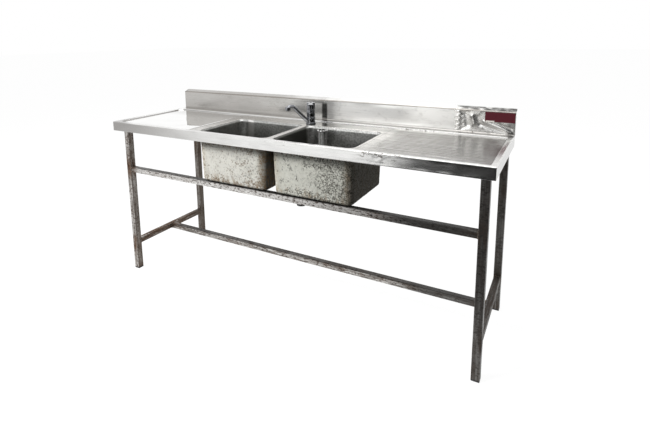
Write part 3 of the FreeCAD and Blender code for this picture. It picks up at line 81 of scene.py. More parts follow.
SHEET = 0.0015
APRON, LIP, NOSING = 0.050, 0.012, 0.003
LEFT, RIGHT, FRONT = low("worktop", 0), high("worktop", 0), low("worktop", 1)
DECK = low("worktop", 2) + APRON
SPLASH, HEAD = FRONT + 0.568, DECK + 0.105
CREST_Y, CREST, HEM = high("worktop", 1), high("worktop", 2), 0.012
END_FOLD = 0.015
RIM, REAR_RIM, STEP_DROP, STEP_RUN = 0.022, 0.053, 0.006, 0.003
WIDE_CORNER, TIGHT_CORNER, TINY = 0.045, 0.010, 0.0001
PLATE_TOP = DECK - STEP_DROP + SHEET
PLATE = (low("sink_plate", 0), high("sink_plate", 0), low("sink_plate", 1), high("sink_plate", 1))
PLATE_CORNER, PLATE_LAP = 0.009, 0.006
BEND = 0.013
MOUTH_CORNER, FLANGE, LEAN = 0.034, 0.008, math.tan(math.radians(2.3))
BASIN = low("left_bowl", 2) + SHEET
# X places of the painted tap reflection on the splashback and of the painted highlight in the left bowl.
BEHIND_TAP, PAINTED_HIGHLIGHT_X = 0.033, -0.345
print("worktop %.3f m long, deck at %.3f m, basin floor at %.4f m" % (RIGHT - LEFT, DECK, BASIN))

# %% [markdown]
# ## Shapes as arrays
# Sheet metal is drawn the way a brake folds it: a profile with rounded bends, carried round an
# outline. Each helper returns whole arrays of points. An outline has a fixed count of points on each
# side and corner, so that two outlines pair up point by point and a surface can be stretched between
# them without any search.

# %% Profiles and outlines


def unit(vector):
    """A vector divided by its length."""
    return vector / np.linalg.norm(vector)


def bent(corners, radii, steps=5):
    """Straight runs joined by arcs: each inner corner gives way to the arc of its radius that touches
    both runs, found by turning evenly from one touching point to the other about the arc's centre."""
    corners = [np.array(corner, float) for corner in corners]
    share = np.linspace(0, 1, steps + 1)[:, None]
    runs = [corners[0][None]]
    for before, corner, after, radius in zip(corners, corners[1:], corners[2:], radii):
        coming, going = unit(corner - before), unit(after - corner)
        turn = math.acos(float(np.clip(coming @ going, -1, 1)))
        centre = corner + unit(going - coming) * radius / math.cos(turn / 2)
        reach = radius * math.tan(turn / 2)
        first, last = corner - coming * reach - centre, corner + going * reach - centre
        arc = (np.sin((1 - share) * turn) * first + np.sin(share * turn) * last) / math.sin(turn)
        runs.append(centre + arc)
    runs.append(corners[-1][None])
    return np.concatenate(runs)


def divided(line, step):
    """The same line with extra points on its long runs, at most a step apart."""
    gaps = np.linalg.norm(np.diff(line, axis=0), axis=1)
    places = np.concatenate([[0], np.cumsum(gaps)])
    wanted = np.union1d(places, np.arange(0, places[-1], step))
    return np.stack([np.interp(wanted, places, column) for column in line.T], 1)


def outline(box, radii, counts, arc=8):
    """A rounded rectangle seen from above, from the rear left corner down the left side, along the
    front, up the right side and back along the rear; radii are front left, front right, rear right
    and rear left."""
    x0, x1, y0, y1 = box
    a, b, c, d = radii

    def side(start, finish, count):
        return np.linspace(start, finish, count, endpoint=False)

    def corner(x, y, radius, start):
        angle = np.radians(np.linspace(start, start + 90, arc, endpoint=False))
        return np.stack([x + radius * np.cos(angle), y + radius * np.sin(angle)], 1)

    left, front, right, rear = counts
    return np.concatenate([side((x0, y1 - d), (x0, y0 + a), left), corner(x0 + a, y0 + a, a, 180),
                           side((x0 + a, y0), (x1 - b, y0), front), corner(x1 - b, y0 + b, b, 270),
                           side((x1, y0 + b), (x1, y1 - c), right), corner(x1 - c, y1 - c, c, 0),
                           side((x1 - c, y1), (x0 + d, y1), rear), corner(x0 + d, y1 - d, d, 90)])


def shrunk(box, inset):
    """A box drawn in by an inset on all four sides."""
    return (box[0] + inset, box[1] - inset, box[2] + inset, box[3] - inset)


def carried(profile, box, radii, counts, arc=8):
    """A profile of insets and heights carried round an outline: each row is the outline drawn in by
    the inset, its corners tighter by as much, at that height."""
    rows = []
    for inset, height in profile:
        tight = [max(radius - inset, TINY) for radius in radii]
        ring = outline(shrunk(box, inset), tight, counts, arc)
        rows.append(np.column_stack([ring, np.full(len(ring), height)]))
    return np.stack(rows)


def between(first, last, count):
    """Rows shared out evenly from one row of points to another."""
    share = np.linspace(0, 1, count)[:, None, None]
    return first[None] * (1 - share) + last[None] * share


def lathe(profile, x, y, steps=64):
    """A profile of radii and heights turned about an upright axis."""
    angle = np.linspace(0, 2 * math.pi, steps, endpoint=False)
    radius, height = np.array(profile).T
    return np.stack([x + radius[:, None] * np.cos(angle), y + radius[:, None] * np.sin(angle),
                     np.repeat(height[:, None], steps, 1)], -1)


def waves(points, size, seed, count=30):
    """A smooth random field: plane waves of seeded directions and phases, of lengths round the given
    size, added up and scaled to a spread of about one."""
    random = np.random.default_rng(seed)
    ways = random.normal(size=(count, 3))
    ways *= (2 * math.pi / size * random.uniform(0.6, 1.7, count) / np.linalg.norm(ways, axis=1))[:, None]
    return np.cos(points @ ways.T + random.uniform(0, 2 * math.pi, count)).sum(-1) * math.sqrt(2 / count)


def eased(value, start, finish):
    """0 before start, 1 after finish, and an S-shaped rise between them."""
    share = np.clip((value - start) / (finish - start), 0, 1)
    return share * share * (3 - 2 * share)


print("a bend of 3 mm in", len(bent([(0, 0), (1, 0), (1, 1)], [0.003])), "points")

# %% Grids into pieces


def grid_faces(rows, columns, closed, first):
    """Quads between neighbouring rows and columns; a closed grid joins its last column to its first."""
    across = np.arange(columns if closed else columns - 1)
    along = np.arange(rows - 1)[:, None] * columns
    here, beside = along + across, along + (across + 1) % columns
    return first + np.stack([here, beside, beside + columns, here + columns], -1).reshape(-1, 4)


def outwards(grid, closed):
    """Unit normals of a grid: the cross product of the ways along its columns and its rows."""
    if closed:
        along = np.roll(grid, -1, 1) - np.roll(grid, 1, 1)
    else:
        along = np.gradient(grid, axis=1)
    normal = np.cross(along, np.gradient(grid, axis=0))
    return normal / np.maximum(np.linalg.norm(normal, axis=2, keepdims=True), 1e-12)


def make_piece(name, patches, finishes, body, nodes=(), wall=0.0, sharp=40):
    """A mesh from patches (grid, closed, finish number): their doubles are merged, the faces smoothed
    up to the sharp angle, and a wall laid inwards where one is asked for."""
    faces, kinds, first = [], [], 0
    for grid, closed, kind in patches:
        faces.append(grid_faces(grid.shape[0], grid.shape[1], closed, first))
        kinds.append(np.full(len(faces[-1]), kind))
        first += grid.shape[0] * grid.shape[1]
    points = np.concatenate([grid.reshape(-1, 3) for grid, closed, kind in patches])
    mesh = bpy.data.meshes.new(name)
    mesh.from_pydata(points.tolist(), [], np.concatenate(faces).tolist())
    mesh.polygons.foreach_set("material_index", np.concatenate(kinds))
    build = bmesh.new()
    build.from_mesh(mesh)
    bmesh.ops.remove_doubles(build, verts=build.verts, dist=2e-5)
    build.to_mesh(mesh)
    build.free()
    mesh.shade_smooth()
    mesh.set_sharp_from_angle(angle=math.radians(sharp))
    piece = bpy.data.objects.new(name, mesh)
    bpy.context.scene.collection.objects.link(piece)
    for finish in finishes:
        mesh.materials.append(finish)
    if wall:
        thicken = piece.modifiers.new("wall", "SOLIDIFY")
        thicken.thickness, thicken.offset = wall, -1
    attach(piece, body)
    if nodes:
        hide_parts(*nodes)
    print("%-18s %6d faces on %s" % (name, len(mesh.polygons), body))
    return piece


# %% [markdown]
# ## Finishes
# Steel is one shader with a metal's colour; what tells polished, brushed and worn steel apart is how
# rough it is and how that changes over the surface. Every finish below is a handful of noise fields on
# the part's own coordinates, so streaks run along a tube or a sheet. A small class wraps a socket, so
# that shader maths reads like ordinary Python.

# %% Shader maths


class Shade:
    """A value inside a material; arithmetic on it adds Math nodes."""

    def __init__(self, finish, socket):
        self.finish, self.socket = finish, socket

    def math(self, operation, *values):
        return self.finish.add("ShaderNodeMath", {"operation": operation}, dict(enumerate(values)))

    def __add__(self, other):
        return self.math("ADD", self, other)

    def __sub__(self, other):
        return self.math("SUBTRACT", self, other)

    def __rsub__(self, other):
        return self.math("SUBTRACT", other, self)

    def __mul__(self, other):
        return self.math("MULTIPLY", self, other)

    def __abs__(self):
        return self.math("ABSOLUTE", self)

    __radd__, __rmul__ = __add__, __mul__

    def most(self, other):
        """The larger of two values."""
        return self.math("MAXIMUM", self, other)

    def eased(self, start, finish):
        """0 at start, 1 at finish, with a soft rise between; start may lie above finish."""
        if start > finish:
            return 1 - self.eased(finish, start)
        return self.finish.add("ShaderNodeMapRange", {"interpolation_type": "SMOOTHSTEP"},
                               {"Value": self, "From Min": start, "From Max": finish})


class Finish:
    """A procedural material: one principled shader, and the nodes that feed it."""

    def __init__(self, name, tree=None, **fixed):
        self.material = None
        if tree is None:
            self.material = bpy.data.materials.new(name)
            self.material.use_nodes = True
            tree = self.material.node_tree
        self.tree = tree
        self.shader = tree.nodes.get("Principled BSDF")
        for label, value in fixed.items():
            self.shader.inputs[label.replace("_", " ").title().replace("Ior", "IOR")].default_value = value

    def add(self, kind, settings=None, inputs=None, output=0):
        """One node: its settings first, then the values or links of its sockets."""
        node = self.tree.nodes.new(kind)
        for label, value in (settings or {}).items():
            setattr(node, label, value)
        for label, value in (inputs or {}).items():
            self.join(value, node.inputs[label])
        return Shade(self, node.outputs[output])

    def join(self, value, socket):
        """Links a shade to a socket, or writes a plain number or colour into it."""
        if isinstance(value, Shade):
            self.tree.links.new(value.socket, socket)
        elif isinstance(value, tuple) and socket.type == "RGBA":
            socket.default_value = (*value, 1)
        else:
            socket.default_value = value

    def place(self):
        """The point on the part, in metres."""
        return self.add("ShaderNodeTexCoord", output="Object")

    def axes(self):
        """X, Y and Z of the point on the part."""
        split = self.add("ShaderNodeSeparateXYZ", inputs={0: self.place()})
        return [Shade(self, output) for output in split.socket.node.outputs]

    def grain(self, scale, offset=0.0, detail=3.0, roughness=0.55):
        """Noise, with so many features per metre along X, Y and Z."""
        spot = self.add("ShaderNodeVectorMath", {"operation": "MULTIPLY_ADD"},
                        {0: self.place(), 1: scale, 2: (offset, offset, offset)})
        return self.add("ShaderNodeTexNoise", inputs={"Vector": spot, "Scale": 1.0, "Detail": detail,
                                                      "Roughness": roughness})

    def blend(self, share, first, last):
        """A colour between two colours."""
        return self.add("ShaderNodeMix", {"data_type": "RGBA"}, {0: share, 6: first, 7: last}, output=2)

    def set(self, **links):
        """Feeds the shader's sockets, such as base_color and roughness."""
        for label, value in links.items():
            self.join(value, self.shader.inputs[label.replace("_", " ").title()])
        return self

    def bump(self, height, depth):
        """Raises the surface by a height of 0 to 1 times the depth in metres."""
        raised = self.add("ShaderNodeBump", inputs={"Height": height, "Distance": depth, "Strength": 1.0})
        self.join(raised, self.shader.inputs["Normal"])
        return self


def scaled(values, share):
    """Every part of a colour or a scale times a share."""
    return tuple(part * share for part in values)


print("shader helpers ready")

# %% [markdown]
# ## Sheet steel
# The worktop left its maker polished; years of pans have laid fine crossed scratches and a grey veil
# on it. The apron and the splashback keep a satin grain along their length. The grain is noise
# squeezed across the sheet and stretched along it, used for colour, gloss and a very shallow bump.

# %% Sheet steel finishes


def polished_top():
    """The plain top: near mirror, with a soft veil, hair scratches and a painted reflection greying its rear.
    """
    steel = Finish("polished_top", metallic=1.0)
    veil = steel.grain((7, 9, 7), 3.0).eased(0.40, 0.75)
    hairs = steel.grain((12, 260, 40), 5.0, detail=2).eased(0.60, 0.74)
    tone = steel.blend(veil, (0.99, 0.99, 0.98), (0.92, 0.92, 0.91))
    x, y, z = steel.axes()
    # Painted reflection: greyer towards the rear, and darker still in the strip behind the bowls, where the
    # top mirrors the splashback.
    tone = steel.blend(y.eased(0.0, 0.15) * 0.40, tone, (0.42, 0.41, 0.395))
    behind = y.eased(0.185, 0.200) * x.eased(-0.45, 0.10)
    tone = steel.blend(behind * 0.55, tone, (0.36, 0.35, 0.33))
    steel.set(base_color=steel.blend(hairs * 0.12, tone, (0.6, 0.6, 0.6)), roughness=0.02 + veil * 0.03)
    steel.bump(steel.grain((5, 6, 5), 8.0, detail=1), 0.0003)
    return steel.material


def satin_edge():
    """Rim and aprons: the rim is polished but darker at its near left corner, and greyed at its rear by a
    painted reflection; the aprons are satin along the fold, greyer to the plain end, rubbed, and dark at
    the drainer end by a painted dark reflection."""
    steel = Finish("satin_edge", metallic=1.0)
    x, y, z = steel.axes()
    grain = steel.grain((7, 200, 260), 1.0, detail=3)
    cloud = steel.grain((7, 7, 26), 2.0, detail=4)
    upright = z.eased(DECK - 0.0012, DECK - 0.0035)
    apron = steel.blend(x.eased(-1.0, -0.08), (0.35, 0.34, 0.33), (0.80, 0.80, 0.785))
    # Painted dark reflection: the apron darkens towards the drainer end, where it mirrors dark surroundings
    # in front.
    apron = steel.blend(x.eased(0.62, 0.82) * 0.45, apron, (0.20, 0.20, 0.195))
    tone = steel.blend(upright, (0.88, 0.875, 0.86), apron)
    # Darker at the rim's near left corner.
    corner = (1 - upright) * x.eased(-0.83, -0.93) * y.eased(-0.10, -0.26)
    tone = steel.blend(corner * 0.85, tone, (0.34, 0.33, 0.32))
    # Painted reflection: the rim's rear strip behind the bowls is greyed, where it mirrors the splashback.
    behind = (1 - upright) * y.eased(0.190, 0.215) * x.eased(-0.45, 0.10)
    tone = steel.blend(behind * (0.55 + grain * 0.4), tone, (0.24, 0.23, 0.22))
    tone = steel.blend(cloud.eased(0.35, 0.75) * 0.28, tone, (0.46, 0.45, 0.44))
    tone = steel.blend(grain.eased(0.50, 0.78) * 0.28, tone, (0.42, 0.41, 0.40))
    rubs = steel.grain((70, 90, 110), 7.0, detail=5, roughness=0.65).eased(0.53, 0.60)
    worn = rubs * x.eased(0.46, 0.51) * x.eased(0.72, 0.60) * z.eased(DECK - 0.042, DECK - 0.014)
    nicks = steel.grain((60, 60, 90), 6.0, detail=4).eased(0.69, 0.73)
    steel.set(base_color=steel.blend((worn * 0.85).most(nicks * 0.5), tone, (0.12, 0.10, 0.085)),
              roughness=0.13 + grain * 0.06 + cloud * 0.05)
    steel.bump(grain * 0.6 + steel.grain((4, 4, 14), 9.0, detail=1) * 3.0, 0.00010)
    return steel.material


def splash_steel():
    """Splashback: satin, clouded grey at the plain end, brighter but duller in gloss past the tap, stained
    near its far end, with a painted reflection of the tap, a dark upright streak behind it, and painted
    shade along its foot."""
    steel = Finish("splash_steel", metallic=1.0)
    x, y, z = steel.axes()
    grain = steel.grain((3.5, 40, 190), 11.0, detail=3)
    cloud = steel.grain((5, 9, 13), 12.0, detail=5)
    smear = steel.grain((26, 26, 50), 13.0, detail=4).eased(0.52, 0.74)
    tone = steel.blend(x.eased(-0.50, 0.16), (0.52, 0.505, 0.485), (0.95, 0.945, 0.925))
    low_grey = z.eased(DECK + 0.075, DECK + 0.010) * x.eased(0.3, -0.1) * 0.30
    tone = steel.blend(low_grey, tone, (0.30, 0.285, 0.265))
    worn = 0.45 - x.eased(0.10, 0.35) * x.eased(0.80, 0.70) * 0.25
    tone = steel.blend(cloud.eased(0.42, 0.70) * worn, tone, (0.42, 0.41, 0.39))
    tone = steel.blend(grain.eased(0.48, 0.75) * worn * 0.65, tone, (0.40, 0.39, 0.37))
    tone = steel.blend(smear * 0.22, tone, (0.30, 0.29, 0.27))
    front = y.eased(SPLASH + 0.0017, SPLASH + 0.0010)
    # Painted reflection of the tap: a dark upright band on the face behind it.
    streak = abs(x - BEHIND_TAP).eased(0.021, 0.011) * z.eased(DECK + 0.100, DECK + 0.080) * front
    tone = steel.blend(streak * (0.80 + grain * 0.3), tone, (0.035, 0.035, 0.033))
    # Painted shade at the foot, in the corner where the splashback rises from the deck.
    foot = z.eased(DECK + 0.012, DECK + 0.003)
    tone = steel.blend(foot * 0.6, tone, (0.30, 0.285, 0.265))
    stained = x.eased(0.70, 0.80) * z.eased(HEAD, HEAD - 0.004) * front
    spots = steel.grain((55, 55, 45), 15.0, detail=5, roughness=0.62).eased(0.50, 0.64)
    tone = steel.blend(stained * spots * 0.65, tone, (0.12, 0.11, 0.10))
    tone = steel.blend(stained * x.eased(0.95, 0.985) * 0.6, tone, (0.14, 0.135, 0.13))
    fold = abs(z - HEAD).eased(0.0045, 0.0015)
    tone = steel.blend(fold * 0.65, tone, (0.20, 0.17, 0.14))
    ledge = z.eased(HEAD + 0.001, HEAD + 0.003)
    far_end = steel.grain((30, 60, 60), 16.0, detail=3).eased(0.30, 0.60)
    tone = steel.blend(ledge * x.eased(0.70, 0.77) * (0.55 + far_end * 0.4), tone, (0.07, 0.068, 0.065))
    dull = x.eased(0.02, 0.05) * x.eased(0.76, 0.70)
    steel.set(base_color=tone, roughness=0.14 + grain * 0.07 + cloud * 0.06 + dull * 0.15)
    steel.bump(grain * 0.5 + steel.grain((5, 5, 11), 14.0, detail=1) * 3.0, 0.00010)
    return steel.material


def plate_steel():
    """Sink plate and drainer: brushed along the unit and dulled, most at the drainer's far end, striped
    lighter and darker along the drainer, greyed behind the bowls by a painted reflection, and dull on
    its lip."""
    steel = Finish("plate_steel", metallic=1.0)
    x, y, z = steel.axes()
    grain = steel.grain((1.6, 46, 10), 21.0, detail=4, roughness=0.65)
    water = steel.grain((9, 20, 9), 22.0, detail=5, roughness=0.62)
    stain = steel.grain((34, 40, 30), 23.0, detail=5).eased(0.52, 0.66)
    tone = steel.blend(x.eased(0.40, 0.60), (0.76, 0.745, 0.715), (0.40, 0.39, 0.37))
    tone = steel.blend(x.eased(0.60, 0.85) * 0.65, tone, (0.17, 0.165, 0.155))
    tone = steel.blend(water.eased(0.42, 0.68) * 0.30, tone, (0.34, 0.33, 0.31))
    # Lighter and darker stripes along the drainer.
    stripes = x.eased(0.38, 0.52)
    tone = steel.blend(grain.eased(0.48, 0.62) * (0.18 + stripes * 0.30), tone, (0.19, 0.18, 0.17))
    tone = steel.blend(grain.eased(0.42, 0.34) * stripes * 0.40, tone, (0.80, 0.79, 0.77))
    tone = steel.blend(stain * stripes * 0.35, tone, (0.16, 0.145, 0.125))
    # Painted reflection: darker behind the bowls, where the plate mirrors the splashback.
    behind = y.eased(0.085, 0.110) * x.eased(-0.30, 0.10) * x.eased(0.60, 0.45)
    tone = steel.blend(behind * (0.35 + grain * 0.45), tone, (0.22, 0.215, 0.20))
    lip = z.eased(PLATE_TOP - 0.0003, PLATE_TOP - 0.0016)
    tone = steel.blend(lip * 0.7, tone, (0.16, 0.155, 0.145))
    steel.set(base_color=tone, roughness=0.17 + water * 0.10)
    steel.bump(grain, 0.00010)
    return steel.material


def bowl_steel():
    """Inside of the bowls: dull and finely mottled by scale and scouring; painted shade darkens all but the
    rear walls, most in the bowl by the drainer, painted light brightens the rear walls, most in that bowl,
    and a painted highlight stands on the rear wall by the plain end bowl's left corner."""
    steel = Finish("bowl_inside", metallic=1.0)
    x, y, z = steel.axes()
    mottle = steel.grain((95, 95, 95), 31.0, detail=4, roughness=0.6)
    scour = steel.grain((90, 90, 14), 32.0, detail=3)
    # Painted shade and light: all but the rear walls darkened, most in the bowl by the drainer; the rear
    # walls brightened, most in that bowl.
    rear = y.eased(0.045, 0.070)
    wall = steel.blend(x.eased(0.0, 0.02), (0.34, 0.34, 0.325), (0.13, 0.13, 0.12))
    tone = steel.blend(rear, wall, (0.55, 0.555, 0.54))
    tone = steel.blend(rear * x.eased(0.0, 0.05) * 0.6, tone, (0.82, 0.82, 0.80))
    tone = steel.blend(mottle.eased(0.42, 0.60) * 0.45, tone, (0.15, 0.15, 0.14))
    tone = steel.blend(mottle.eased(0.60, 0.70) * rear * 0.5, tone, (0.72, 0.72, 0.70))
    # Painted highlight on the rear wall by the left bowl's left corner.
    corner = abs(x - PAINTED_HIGHLIGHT_X).eased(0.030, 0.008) * rear
    tone = steel.blend(corner * 0.95, tone, (0.97, 0.96, 0.94))
    steel.set(base_color=tone, roughness=0.26 + mottle * 0.10 + scour * 0.08)
    steel.bump(mottle + scour * 0.3, 0.00010)
    return steel.material


TOP, EDGE, SPLASH_STEEL = polished_top(), satin_edge(), splash_steel()
PLATE_STEEL, BOWL = plate_steel(), bowl_steel()
print("sheet finishes:", [finish.name for finish in (TOP, EDGE, SPLASH_STEEL, PLATE_STEEL, BOWL)])

# %% [markdown]
# ## Sprayed coating, tubes and small parts
# The bowls are sprayed outside with a gritty coating that deadens their ring; it has yellowed, and
# brown drips gathered where water ran. The tubes are plain steel that stood in damp rooms: streaked
# along their length, pitted, and browned round the welds. The places of the welds come from the rails
# themselves, so the stains sit on the joints.

# %% Coating and tube finishes


def coating(name, pale, fleck, share, mouth):
    """Gritty sprayed coating: mottled, with worm-like pits, browned along its top, foot and left edge,
    darker and more flecked towards the right, with painted shade at its right edge: brown over the
    rounding of the corner and near black on the side."""
    coat = Finish(name, roughness=0.8)
    x, y, z = coat.axes()
    left, right = mouth
    veil = coat.grain((12, 12, 12), 41.0, detail=5)
    grit = coat.grain((90, 90, 90), 42.0, detail=3, roughness=0.75)
    rim = z.eased(DECK - 0.085, DECK - 0.060).most(z.eased(BASIN + 0.060, BASIN + 0.010))
    rim = rim.most(x.eased(left + 0.050, left + 0.004)).most(x.eased(right - 0.060, right - 0.030))
    wear = coat.grain((22, 22, 22), 44.0, detail=4)
    dense = x.eased(right - 0.30, right - 0.06)
    where = (wear + rim * 0.14 + dense * share * 0.5).eased(0.55, 0.66)
    worms = abs(coat.grain((72, 72, 84), 43.0, detail=2) - 0.5).eased(0.050, 0.022)
    flecks = (worms * where).most(coat.grain((120, 120, 120), 47.0, detail=1).eased(0.66, 0.70) * 0.8)
    drips = coat.grain((55, 55, 22), 45.0, detail=4).eased(0.46, 0.62) * rim
    tone = coat.blend(veil.eased(0.32, 0.72), pale, scaled(pale, 0.86))
    tone = coat.blend(grit.eased(0.53, 0.62) * (0.20 + dense * 0.45), tone, scaled(pale, 0.25))
    tone = coat.blend(grit.eased(0.46, 0.34) * 0.40, tone, (0.97, 0.965, 0.93))
    tone = coat.blend(drips * 0.60, tone, (0.38, 0.26, 0.14))
    tone = coat.blend(x.eased(left + 0.07, left) * 0.40, tone, (0.46, 0.36, 0.23))
    tone = coat.blend(dense * share * 0.6, tone, scaled(pale, 0.40))
    # Painted shade: a brown band over the rounding of the right front corner and a near black one on the
    # right side, which faces away from the light.
    side = x + (DECK - z) * LEAN
    tone = coat.blend(side.eased(right - 0.062, right - 0.018) * 0.60, tone, (0.17, 0.14, 0.10))
    tone = coat.blend(side.eased(right - 0.012, right - 0.004) * (0.95 - share), tone, (0.06, 0.055, 0.048))
    tone = coat.blend(flecks * 0.85, tone, fleck)
    chips = coat.grain((75, 75, 45), 46.0, detail=2).eased(0.64, 0.67) * x.eased(left + 0.05, left + 0.02)
    chips = chips * z.eased(BASIN + 0.14, BASIN + 0.08)
    coat.set(base_color=coat.blend(chips, tone, (0.95, 0.95, 0.93)))
    coat.bump(grit + veil * 0.4 - flecks, 0.0009)
    return coat.material


FRONT_WELD = middle("front_rail", 2)
LOW_WELD = middle("left_low_rail", 2)


def tube_steel(name, streak):
    """Worn tube: streaks along its run, pits, brown heat and damp round the welds, and painted light:
    shade on the rear tubes at the plain end and on the plain end's faces turned from the light, a paler
    reflection on the front rail's face at the plain end, and a dark reflection on the upper faces of
    the long rails and towards the drainer end."""
    tube = Finish(name, metallic=0.85)
    x, y, z = tube.axes()
    run = tube.grain(streak, 51.0, detail=4, roughness=0.6)
    speck = tube.grain((60, 80, 120), 55.0, detail=4, roughness=0.75).eased(0.53, 0.57)
    fine = tube.grain(scaled(streak, 1.7), 52.0, detail=3)
    pits = tube.grain((95, 95, 95), 53.0, detail=3).eased(0.585, 0.64)
    patch = tube.grain((14, 14, 11), 54.0, detail=5).eased(0.44, 0.62)
    end_x = abs(x).eased(0.86, 0.935)
    joint = (abs(z - FRONT_WELD).eased(0.075, 0.012)).most(abs(z - LOW_WELD).eased(0.07, 0.012)) * end_x
    foot = z.eased(0.10, 0.01)
    brown = (joint * 0.9 + patch * 0.45 + foot * 0.5) * run.eased(0.28, 0.58)
    far = x.eased(0.48, 0.70)
    tone = tube.blend(run.eased(0.36, 0.62), (0.66, 0.645, 0.62), (0.27, 0.25, 0.23))
    tone = tube.blend(fine.eased(0.48, 0.68) * 0.65, tone, (0.10, 0.085, 0.075))
    tone = tube.blend(brown, tone, (0.15, 0.085, 0.048))
    tone = tube.blend((pits * patch).most(speck * 0.85), tone, (0.050, 0.028, 0.018))
    # Painted reflection: the front rail's face is paler at the plain end, where it mirrors white
    # surroundings.
    pale = abs(z - FRONT_WELD).eased(0.03, 0.02) * (1 - end_x) * x.eased(0.62, 0.42) * (1 - speck)
    tone = tube.blend(pale * 0.55, tone, (0.82, 0.81, 0.79))
    # Painted shade on the rear tubes at the plain end, back under the unit.
    tone = tube.blend(y.eased(0.05, 0.28) * x.eased(0.0, -0.5) * 0.70, tone, (0.085, 0.072, 0.060))
    # Painted shade on the plain end's tubes, on the faces turned from the light.
    turned = x.eased(-0.948, -0.943) * x.eased(-0.90, -0.93)
    tone = tube.blend(turned * 0.60, tone, (0.085, 0.065, 0.05))
    # Painted dark reflection on the upper faces of the long rails, which mirror the shaded underside of the
    # unit.
    painted_top_reflection = z.eased(FRONT_WELD + 0.010, FRONT_WELD + 0.0135) * z.eased(FRONT_WELD + 0.030, FRONT_WELD + 0.020)
    painted_top_reflection = painted_top_reflection.most(z.eased(LOW_WELD + 0.009, LOW_WELD + 0.0135) * z.eased(LOW_WELD + 0.03, LOW_WELD + 0.02))
    tone = tube.blend(painted_top_reflection * (1 - end_x) * 0.80, tone, (0.018, 0.015, 0.013))
    # Painted dark reflection: the tubes darken towards the drainer end, where they mirror dark surroundings.
    tone = tube.blend(far * 0.80, tone, (0.055, 0.053, 0.050))
    tube.set(base_color=tone, roughness=0.30 + run * 0.18 + brown * 0.2)
    tube.bump(run * 0.8 + fine * 0.4 - pits * 0.8, 0.0003)
    return tube.material


COAT_LEFT = coating("coat_left", (1.0, 0.985, 0.90), (0.22, 0.14, 0.07), 0.10,
                    (low("left_bowl_coat", 0), high("left_bowl_coat", 0)))
COAT_RIGHT = coating("coat_right", (0.86, 0.86, 0.77), (0.045, 0.038, 0.026), 0.50,
                     (low("right_bowl_coat", 0), high("right_bowl_coat", 0)))
UPRIGHT = tube_steel("tube_upright", (110, 110, 7))
ACROSS = tube_steel("tube_across", (7, 110, 110))
INWARD = tube_steel("tube_inward", (110, 7, 110))
print("tubes are stained round %.3f m and %.3f m" % (FRONT_WELD, LOW_WELD))

# %% Small finishes


def bright_metal(name, colour, rough, speck):
    """Plated or turned metal with water spots and light wear."""
    metal = Finish(name, metallic=1.0)
    spots = metal.grain((150, 150, 150), 61.0, detail=4).eased(0.52, 0.72)
    tone = metal.blend(spots * speck, colour, scaled(colour, 0.45))
    metal.set(base_color=tone, roughness=rough + spots * 0.16)
    metal.bump(metal.grain((240, 240, 240), 62.0, detail=2), 0.000006)
    return metal.material


def limed_pipe():
    """Standpipe: bright steel striped from end to end by painted reflections, dark and bright, with specks of
    lime.
    """
    pipe = Finish("pipe_steel", metallic=0.7)
    # Painted reflections: dark and bright upright stripes that stand in for the bowl walls mirrored in the
    # pipe.
    streak = pipe.grain((105, 105, 2), 63.0, detail=3)
    crust = pipe.grain((160, 160, 60), 64.0, detail=4).eased(0.50, 0.66)
    tone = pipe.blend(streak.eased(0.46, 0.54), (0.05, 0.05, 0.048), (0.97, 0.97, 0.95))
    pipe.set(base_color=pipe.blend(crust * 0.3, tone, (0.45, 0.44, 0.41)), roughness=0.16 + crust * 0.2)
    pipe.bump(crust, 0.00008)
    return pipe.material


def moulded(name, colour, rough, dust):
    """Moulded plastic, rubber or film: a fine skin and patches of dust."""
    skin = Finish(name)
    patch = skin.grain((40, 40, 40), 71.0, detail=4).eased(0.4, 0.7)
    fine = skin.grain((900, 900, 900), 72.0, detail=2)
    skin.set(base_color=skin.blend(patch * dust, colour, (0.34, 0.32, 0.29)), roughness=rough + patch * 0.14)
    skin.bump(fine, 0.00006)
    return skin.material


def weld_finish():
    """Cooled weld metal: dark scale over steel, brown in its ripples."""
    bead = Finish("weld_metal", metallic=0.7)
    scale = bead.grain((300, 300, 300), 81.0, detail=4).eased(0.4, 0.62)
    bead.set(base_color=bead.blend(scale, (0.30, 0.25, 0.21), (0.07, 0.045, 0.03)),
             roughness=0.45 + scale * 0.25)
    bead.bump(scale, 0.0003)
    return bead.material


# Painted reflection: the chrome's low colour stands in for a dark room mirrored in the tap.
CHROME = bright_metal("chrome", (0.25, 0.255, 0.27), 0.03, 0.30)
POLISHED = bright_metal("waste_polish", (0.74, 0.74, 0.72), 0.12, 0.5)
PIPE_STEEL = limed_pipe()
ZINC = bright_metal("zinc", (0.52, 0.53, 0.54), 0.34, 0.6)
BRASS = bright_metal("brass", (0.62, 0.46, 0.22), 0.30, 0.6)
COPPER = bright_metal("copper", (0.62, 0.33, 0.20), 0.28, 0.7)
BLACK = moulded("black_plastic", (0.022, 0.022, 0.023), 0.42, 0.10)
RUBBER = moulded("rubber", (0.018, 0.018, 0.018), 0.62, 0.12)
WHITE = moulded("white_plastic", (0.78, 0.78, 0.75), 0.36, 0.10)
INDEX = moulded("index_plastic", (0.10, 0.10, 0.11), 0.25, 0.05)
LABEL = moulded("label_film", (0.085, 0.004, 0.012), 0.60, 0.01)
STICKER = moulded("sticker_film", (0.86, 0.82, 0.77), 0.6, 0.12)
WELD = weld_finish()
print("small finishes ready")

# %% [markdown]
# ## Worktop
# One sheet is folded for the worktop: lip, apron, nosing, raised rim, a sloping step down to the sunk
# floor. The cross section is the same along the front and both ends, so a U of it could be extruded
# and mitred by hand. Carrying the profile round an outline does the mitres by itself, and the rim, the
# step and the floor are further rows of the same grid. The floor is given the faint waves that thin
# polished sheet always has, because they bend its reflections.

